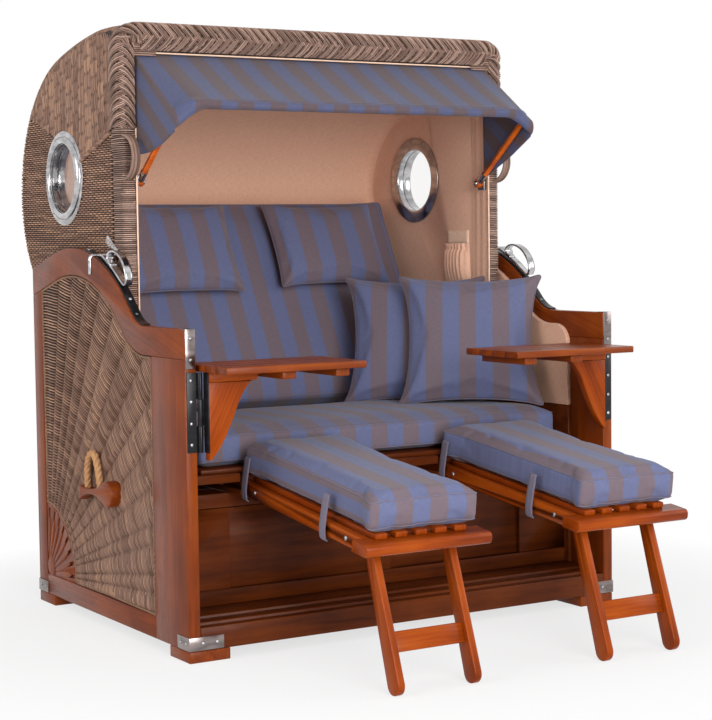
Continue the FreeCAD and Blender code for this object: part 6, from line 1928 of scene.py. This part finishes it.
@dataclass
class Cushion:
    """A stuffed cushion swollen by cloth simulation and fitted to its place."""

    node: str
    body: str
    size: tuple[float, float, float]
    spot: Matrix
    make: Make
    shift: float
    boxing: Boxing = Boxing.ACROSS
    voxel: float = 9.0
    cap: float = 22.0
    crown: float = 12.0
    fill: float = 0.7
    stripe: float = 50.0
    pull: float = 0.05
    full: float = 0.55

    def build(self) -> bpy.types.Object:
        """The finished cushion with its seams."""
        rest = self.start()
        before = points_of(rest)
        swollen = self.swell(rest, before)
        normals = self.face_normals(rest)
        after = self.fit(swollen)
        self.lay_stripes(rest, after, normals)
        turn = np.array(self.spot)
        move_points(rest, carry(after, turn))
        smooth(rest, 80)
        piece = new_object(f"{self.node}_cover", rest, STRIPES)
        piece.modifiers.new("soften", "SUBSURF").levels = 1
        piece.modifiers["soften"].render_levels = 1
        mount(piece, self.body, Slot.STRIPED, self.node)
        paths = [carry(loop, turn) for loop in self.seams(before, after)]
        seams = tubes(f"{self.node}_seams", paths, 0.0016, STRAP_CLOTH, 1, closed=True)
        mount(seams, self.body, Slot.STRIPED)
        return piece

    def start(self) -> bpy.types.Mesh:
        """The slack cover before stuffing, remeshed evenly, in metres about its foot's middle."""
        width, length, height = self.size
        bm = bmesh.new()
        bmesh.ops.create_cube(bm, size=1)
        if self.make is Make.BOXED:
            bmesh.ops.scale(bm, vec=(width - 14, length - 14, height - 8), verts=bm.verts[:])
            bmesh.ops.bevel(bm, geom=bm.edges[:], offset=11, offset_type="OFFSET", segments=3, profile=0.5,
                            affect="EDGES", material=-1)
        else:
            bmesh.ops.scale(bm, vec=(2, 2, 2), verts=bm.verts[:])
            bmesh.ops.subdivide_edges(bm, edges=bm.edges[:], cuts=27, use_grid_fill=True)
            for vert in bm.verts:
                u, v, w = vert.co
                belly = max((1 - u ** 2) * (1 - v ** 2), 0) ** self.full
                x = u * width / 2 * (1 - self.pull * (1 - v * v))
                y = v * length / 2 * (1 - self.pull * 0.7 * (1 - u * u))
                vert.co = (x, y, w * (7 + (height / 2 - 16) * belly))
        bmesh.ops.translate(bm, vec=(0, 0, height / 2), verts=bm.verts[:])
        bmesh.ops.scale(bm, vec=(MM, MM, MM), verts=bm.verts[:])
        carrier = add_object("slack", plain_mesh(bm, "slack"))
        even_mesh = carrier.modifiers.new("even", "REMESH")
        even_mesh.mode = "VOXEL"
        even_mesh.voxel_size = self.voxel * MM
        done = baked(carrier)
        done.name = f"{self.node}_cover"
        return done

    def swell(self, mesh: bpy.types.Mesh, before: np.ndarray) -> np.ndarray:
        """Blow the cover up by pressure, with a cap on each point's move.

        Args:
            mesh: The slack cover.
            before: Its points.

        Returns:
            The swollen points.
        """
        scene = bpy.context.scene
        carrier = add_object("swelling", mesh.copy())
        cloth = carrier.modifiers.new("Cloth", "CLOTH")
        settings = cloth.settings
        settings.quality = 5
        settings.mass = 0.3
        settings.tension_stiffness = settings.compression_stiffness = settings.shear_stiffness = 12
        settings.bending_stiffness = 0.6
        settings.use_pressure = True
        settings.uniform_pressure_force = 4.0
        settings.effector_weights.gravity = 0.0
        for number in range(1, 21):
            scene.frame_set(number)
        done = carrier.evaluated_get(bpy.context.evaluated_depsgraph_get())
        after = points_of(done.data)
        scene.frame_set(1)
        bpy.data.objects.remove(carrier)
        move = after - before
        far = np.linalg.norm(move, axis=1)[:, None]
        return before + move * np.minimum(1, self.cap * MM / np.maximum(far, 1e-9))

    def face_normals(self, mesh: bpy.types.Mesh) -> np.ndarray:
        """Directions of the slack cover's faces."""
        flat = np.zeros(len(mesh.polygons) * 3)
        mesh.polygons.foreach_get("normal", flat)
        return flat.reshape(-1, 3)

    def fit(self, points: np.ndarray) -> np.ndarray:
        """Fit the swollen cover to its size, flat where it rests.

        Args:
            points: The swollen points.

        Returns:
            The fitted points.
        """
        low, high = points.min(0), points.max(0)
        width, length, height = (s * MM for s in self.size)
        crown = self.crown * MM if self.make is Make.BOXED else 0.0
        want_low = np.array([-width / 2, -length / 2, 0.0])
        want_high = np.array([width / 2, length / 2, height + crown])
        if self.make is Make.BOXED:
            low[2] += 0.5 * max(-low[2], 0)
        moved = want_low + (points - low) / (high - low) * (want_high - want_low)
        if self.make is Make.BOXED:
            moved[:, 2] = np.maximum(moved[:, 2], 0.0004)
        return moved

    def lay_stripes(self, mesh: bpy.types.Mesh, points: np.ndarray, normals: np.ndarray) -> None:
        """Stripe coordinates on each face, after the way the cover is cut."""
        flat = np.zeros((len(mesh.loops), 3))
        corner = np.zeros(len(mesh.loops), dtype=np.int32)
        mesh.loops.foreach_get("vertex_index", corner)
        face = np.repeat(np.arange(len(mesh.polygons)), [p.loop_total for p in mesh.polygons])
        spot = points[corner]
        along = np.where(np.abs(normals[face, 1]) > 0.6, spot[:, 2], spot[:, 1])
        flat[:, 0] = (spot[:, 0] + self.shift * MM) * 50 / self.stripe
        flat[:, 1] = along
        side = np.abs(normals[face, 0]) > 0.75
        if self.make is Make.BOXED and self.boxing is Boxing.BANDS:
            flat[side, 0] = spot[side, 2] * 1.5 - 0.042
        elif self.make is Make.BOXED and self.boxing is Boxing.BLUE:
            flat[side, 0] = 0.025
        flat[side, 1] = spot[side, 1]
        vectors(mesh, "cloth", flat, "CORNER")

    def seams(self, before: np.ndarray, after: np.ndarray) -> list[np.ndarray]:
        """Closed seam lines that follow the swollen cover."""
        low, high = before.min(0), before.max(0)
        if self.make is Make.BOXED:
            levels, inset = (low[2] + 0.004, high[2] - 0.004), 0.004
        else:
            levels, inset = ((low[2] + high[2]) / 2,), 0.0
        ring = np.array([(-1, -1), (1, -1), (1, 1), (-1, 1), (-1, -1)], float)
        ring = even(ring, 0.012)[:-1]
        loops = []
        for level in levels:
            spots = np.column_stack([ring * np.maximum(high[:2] - inset, 0), np.full(len(ring), level)])
            near = np.array([np.argmin(((before - s) ** 2).sum(1)) for s in spots])
            loop = after[near]
            for _ in range(2):
                loop = (np.roll(loop, 1, 0) + 2 * loop + np.roll(loop, -1, 0)) / 4
            centre = after.mean(0) * (1, 1, 0) + (0, 0, loop[:, 2].mean())
            loops.append(loop + unit(loop - centre) * 0.0006)
        return loops


@dataclass
class Upholstery:
    """All cushions with their straps."""

    slope: float = 28.0
    headrests: tuple = (("left", 0.022, 306, -6, 50), ("right", -0.022, 292, 62, 54))
    foot_cushions: tuple = (("left", -1, 130, Boxing.BANDS), ("right", 1, 112, Boxing.BLUE))

    def middle(self, node: str) -> Vector:
        """Middle of a node's box."""
        low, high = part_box(node)
        return (Vector(low) + Vector(high)) / 2

    def build(self) -> None:
        """Seat, back, headrests, pillows and foot cushions."""
        seat = Matrix.Translation(Vector(place((0, 419, 478.4))))
        lean = Matrix.Rotation(math.radians(90 - self.slope), 4, "X")
        up = np.array((0, math.sin(math.radians(self.slope)), math.cos(math.radians(self.slope))))
        back = Matrix.Translation(Vector(place(np.array((0, 805, 545)) + 350 * up))) @ lean
        for node, body, size, spot, shift, stripe in (
                ("seat_cushion", "base", (1172, 568, 92), seat, -6, 52),
                ("back_cushion", "hood", (1132, 700, 92), back, -35, 50.5)):
            Cushion(node, body, size, spot, Make.BOXED, shift, voxel=11, crown=13, stripe=stripe).build()
        for side, aside, length, shift, stripe in self.headrests:
            spot = Matrix.Translation(self.middle(f"{side}_headrest")) @ lean
            spot = spot @ Matrix.Translation((aside, (290 - length) / 2 * MM, -0.039))
            Cushion(f"{side}_headrest", "hood", (396, length, 88), spot, Make.KNIFE, shift, voxel=8, cap=14,
                    full=0.36, stripe=stripe, pull=0.04).build()
        turn = Matrix.Rotation(math.radians(-35), 4, "Z") @ Matrix.Rotation(math.radians(69), 4, "X")
        for name, aside, down in (("front", 0.003, -0.006), ("rear", -0.008, -0.012)):
            spot = Matrix.Translation(self.middle(f"{name}_pillow")) @ turn
            spot = spot @ Matrix.Translation((aside, down, -0.059))
            Cushion(f"{name}_pillow", "base", (430, 410, 118), spot, Make.KNIFE, -16, voxel=8, cap=16,
                    pull=0.13).build()
        slope = Matrix.Rotation(math.radians(FOOT_SLOPE), 4, "X")
        for side, sign, shift, boxing in self.foot_cushions:
            frame_spot = Matrix.Translation(Vector(place((sign * FOOTREST[0], *FOOTREST[1:])))) @ slope
            spot = frame_spot @ Matrix.Translation((0, 0.308, 0.0503))
            Cushion(f"{side}_foot_cushion", f"{side}_footrest", (310, 640, 92), spot, Make.BOXED, shift,
                    boxing, voxel=8, crown=10).build()
            self.straps(side, np.array(frame_spot))

    def straps(self, side: str, turn: np.ndarray) -> None:
        """Cloth ties that hold a foot cushion to its rails."""
        for number, (sign, along) in enumerate(((-1, 0.19), (-1, 0.6), (1, 0.19), (1, 0.6))):
            route = np.array([(156, 106), (159, 98), (163, 60), (166, 20), (163, -4), (157, -11)])
            local = np.array([(sign * x * MM, along, z * MM) for x, z in even(route, 8)])
            name = f"{side}_tie_strap_{number + 1}"
            strap = ribbon(name, carry(local, turn), turn[:3, 1], 0.028, 0.0024, STRAP_CLOTH)
            mount(strap, f"{side}_footrest", Slot.STRIPED)


def eased(route: Points, steps: int = 8) -> np.ndarray:
    """A smooth line through points.

    Args:
        route: The points in order.
        steps: Points for each stretch.

    Returns:
        Close points along the line.
    """
    route = np.asarray(route, float)
    padded = np.vstack([2 * route[0] - route[1], route, 2 * route[-1] - route[-2]])
    share = np.linspace(0, 1, steps, endpoint=False)[:, None]
    line = []
    for a, b, c, d in zip(padded[:-3], padded[1:-2], padded[2:-1], padded[3:]):
        line.append(0.5 * (2 * b + (c - a) * share + (2 * a - 5 * b + 4 * c - d) * share ** 2
                           + (3 * b - a - 3 * c + d) * share ** 3))
    return np.vstack([*line, route[-1:]])


@dataclass
class Fittings:
    """Screws, bright rings, latch handles and bolts."""

    handle: tuple = ((110.9, 557), (114, 556), (120, 555), (126, 555.5), (128.1, 562), (127.8, 582),
                     (125.4, 599), (121.6, 607), (117.8, 601), (115.3, 586), (114.4, 570), (115.2, 560),
                     (117.5, 557.5))
    strip: float = 545.3
    flange: float = 130.0
    ring: tuple = ((101, 0), (101, 6), (105, 9.5), (113, 9.5), (121, 5), (122, 0))

    def build(self) -> None:
        """All fittings by body."""
        mount(self.porthole_rims(), Body.HOOD.value, Slot.CHROME)
        pins = [((sign * 563, *BOW_PIVOT), (-sign, 0, 0)) for sign in (-1, 1)]
        mount(studs("bow_pins", pins, 9, 6, CHROME), Body.HOOD.value, Slot.CHROME)
        mount(self.bow_ferrules(), Body.AWNING.value, Slot.CHROME)
        self.porthole_screws()
        self.base_screws()
        for side, sign in SIDES:
            spots = [(sign * POST_X, *self.polar(turn, reach)) for turn, reach in self.handle]
            handle = ribbon(f"{side}_latch_handle", place(eased(spots)), (1, 0, 0), 0.022, 0.0045, CHROME)
            mount(handle, f"{side}_lever", Slot.CHROME, f"{side}_latch_lever")
            self.footrest_bolts(side, sign)

    def bow_ferrules(self) -> bpy.types.Object:
        """Plated sleeves on the lower ends of the awning bow."""
        rise = math.radians(37.4)
        y, z = BOW_PIVOT
        ends = np.array([(y - run * math.cos(rise), z + run * math.sin(rise)) for run in (8, 46)])
        paths = [place(np.column_stack([np.full(2, sign * BOW_HALF), ends])) for sign in (-1, 1)]
        return tubes("bow_ferrules", paths, 10.4 * MM, CHROME, 2)

    def polar(self, turn: float, reach: float) -> tuple[float, float]:
        """Depth and height at an angle and distance from the hood's pivot."""
        angle = math.radians(turn)
        return HOOD_PIVOT[0] + reach * math.cos(angle), HOOD_PIVOT[1] + reach * math.sin(angle)

    def porthole_rims(self) -> bpy.types.Object:
        """Raised ring on the flange of each porthole."""
        bm = bmesh.new()
        for sign in (-1, 1):
            verts = [bm.verts.new((reach, 0, high)) for reach, high in self.ring]
            edges = [bm.edges.new(pair) for pair in zip(verts[:-1], verts[1:])]
            before = set(bm.verts) - set(verts)
            bmesh.ops.spin(bm, geom=verts + edges, axis=(0, 0, 1), cent=(0, 0, 0), angle=2 * math.pi,
                           steps=72, use_merge=True)
            for vert in set(bm.verts) - before:
                across, up, high = vert.co
                spot = (sign * (637 + high), PORTHOLE[0] + across, PORTHOLE[1] + up)
                vert.co = Vector(place(spot))
        bmesh.ops.recalc_face_normals(bm, faces=bm.faces[:])
        return new_object("porthole_rims", close_bmesh(bm, "porthole_rims", 50), CHROME)

    def porthole_screws(self) -> None:
        """Four heads on each flange."""
        spots = []
        for sign in (-1, 1):
            for turn in np.radians((40, 130, 220, 310)):
                y = PORTHOLE[0] + self.flange * math.cos(turn)
                z = PORTHOLE[1] + self.flange * math.sin(turn)
                spots.append(((sign * 637.5, y, z), (sign, 0, 0)))
        mount(studs("porthole_screws", spots, 4.5, 2.6, STEEL), Body.HOOD.value, Slot.STEEL)

    def base_screws(self) -> None:
        """Heads on corner irons, post caps, hinges and latch strips."""
        spots = []
        for sign in (-1, 1):
            spots += [((sign * x, -2.4, 50), (0, -1, 0)) for x in (612, 652)]
            spots += [((sign * 692.3, y, 50), (sign, 0, 0)) for y in (18, 50, 970, 1004)]
            spots += [((sign * POST_X, -2.4, z), (0, -1, 0)) for z in (778, 832)]
            spots += [((sign * POST_X, -3.2, z), (0, -1, 0)) for z in (562, 616, 672, 726)]
            for turn in (100, 106, 132, 138, 143):
                angle = math.radians(turn)
                out = (0, math.cos(angle), math.sin(angle))
                spots.append(((sign * POST_X, *self.polar(turn, self.strip)), out))
        mount(studs("frame_screws", spots, 5, 2.4, STEEL), Body.BASE.value, Slot.STEEL)

    def footrest_bolts(self, side: str, sign: int) -> None:
        """Bolt heads on a footrest's rails."""
        slope = math.radians(FOOT_SLOPE)
        ahead = np.array((0, math.cos(slope), math.sin(slope)))
        up = np.array((0, -math.sin(slope), math.cos(slope)))
        foot = np.array((sign * FOOTREST[0], *FOOTREST[1:]))
        spots = [(foot + (edge * 155.4, 0, 0) + along * ahead + 19 * up, (edge, 0, 0))
                 for edge in (-1, 1) for along in (95, 560)]
        mount(studs(f"{side}_rail_bolts", spots, 6.5, 3.4, STEEL), f"{side}_footrest", Slot.STEEL)


def main() -> None:
    """Build the chair's looks from the camera and cords on."""
    logging.basicConfig(level=logging.INFO, format="%(message)s")
    Studio().build()
    CarryRopes().build()
    Joinery().build()
    SideWeave().build()
    HoodWeave().build()
    Plait().build()
    Lining().build()
    Awning().build()
    Upholstery().build()
    Fittings().build()


if __name__ == "__main__":
    main()
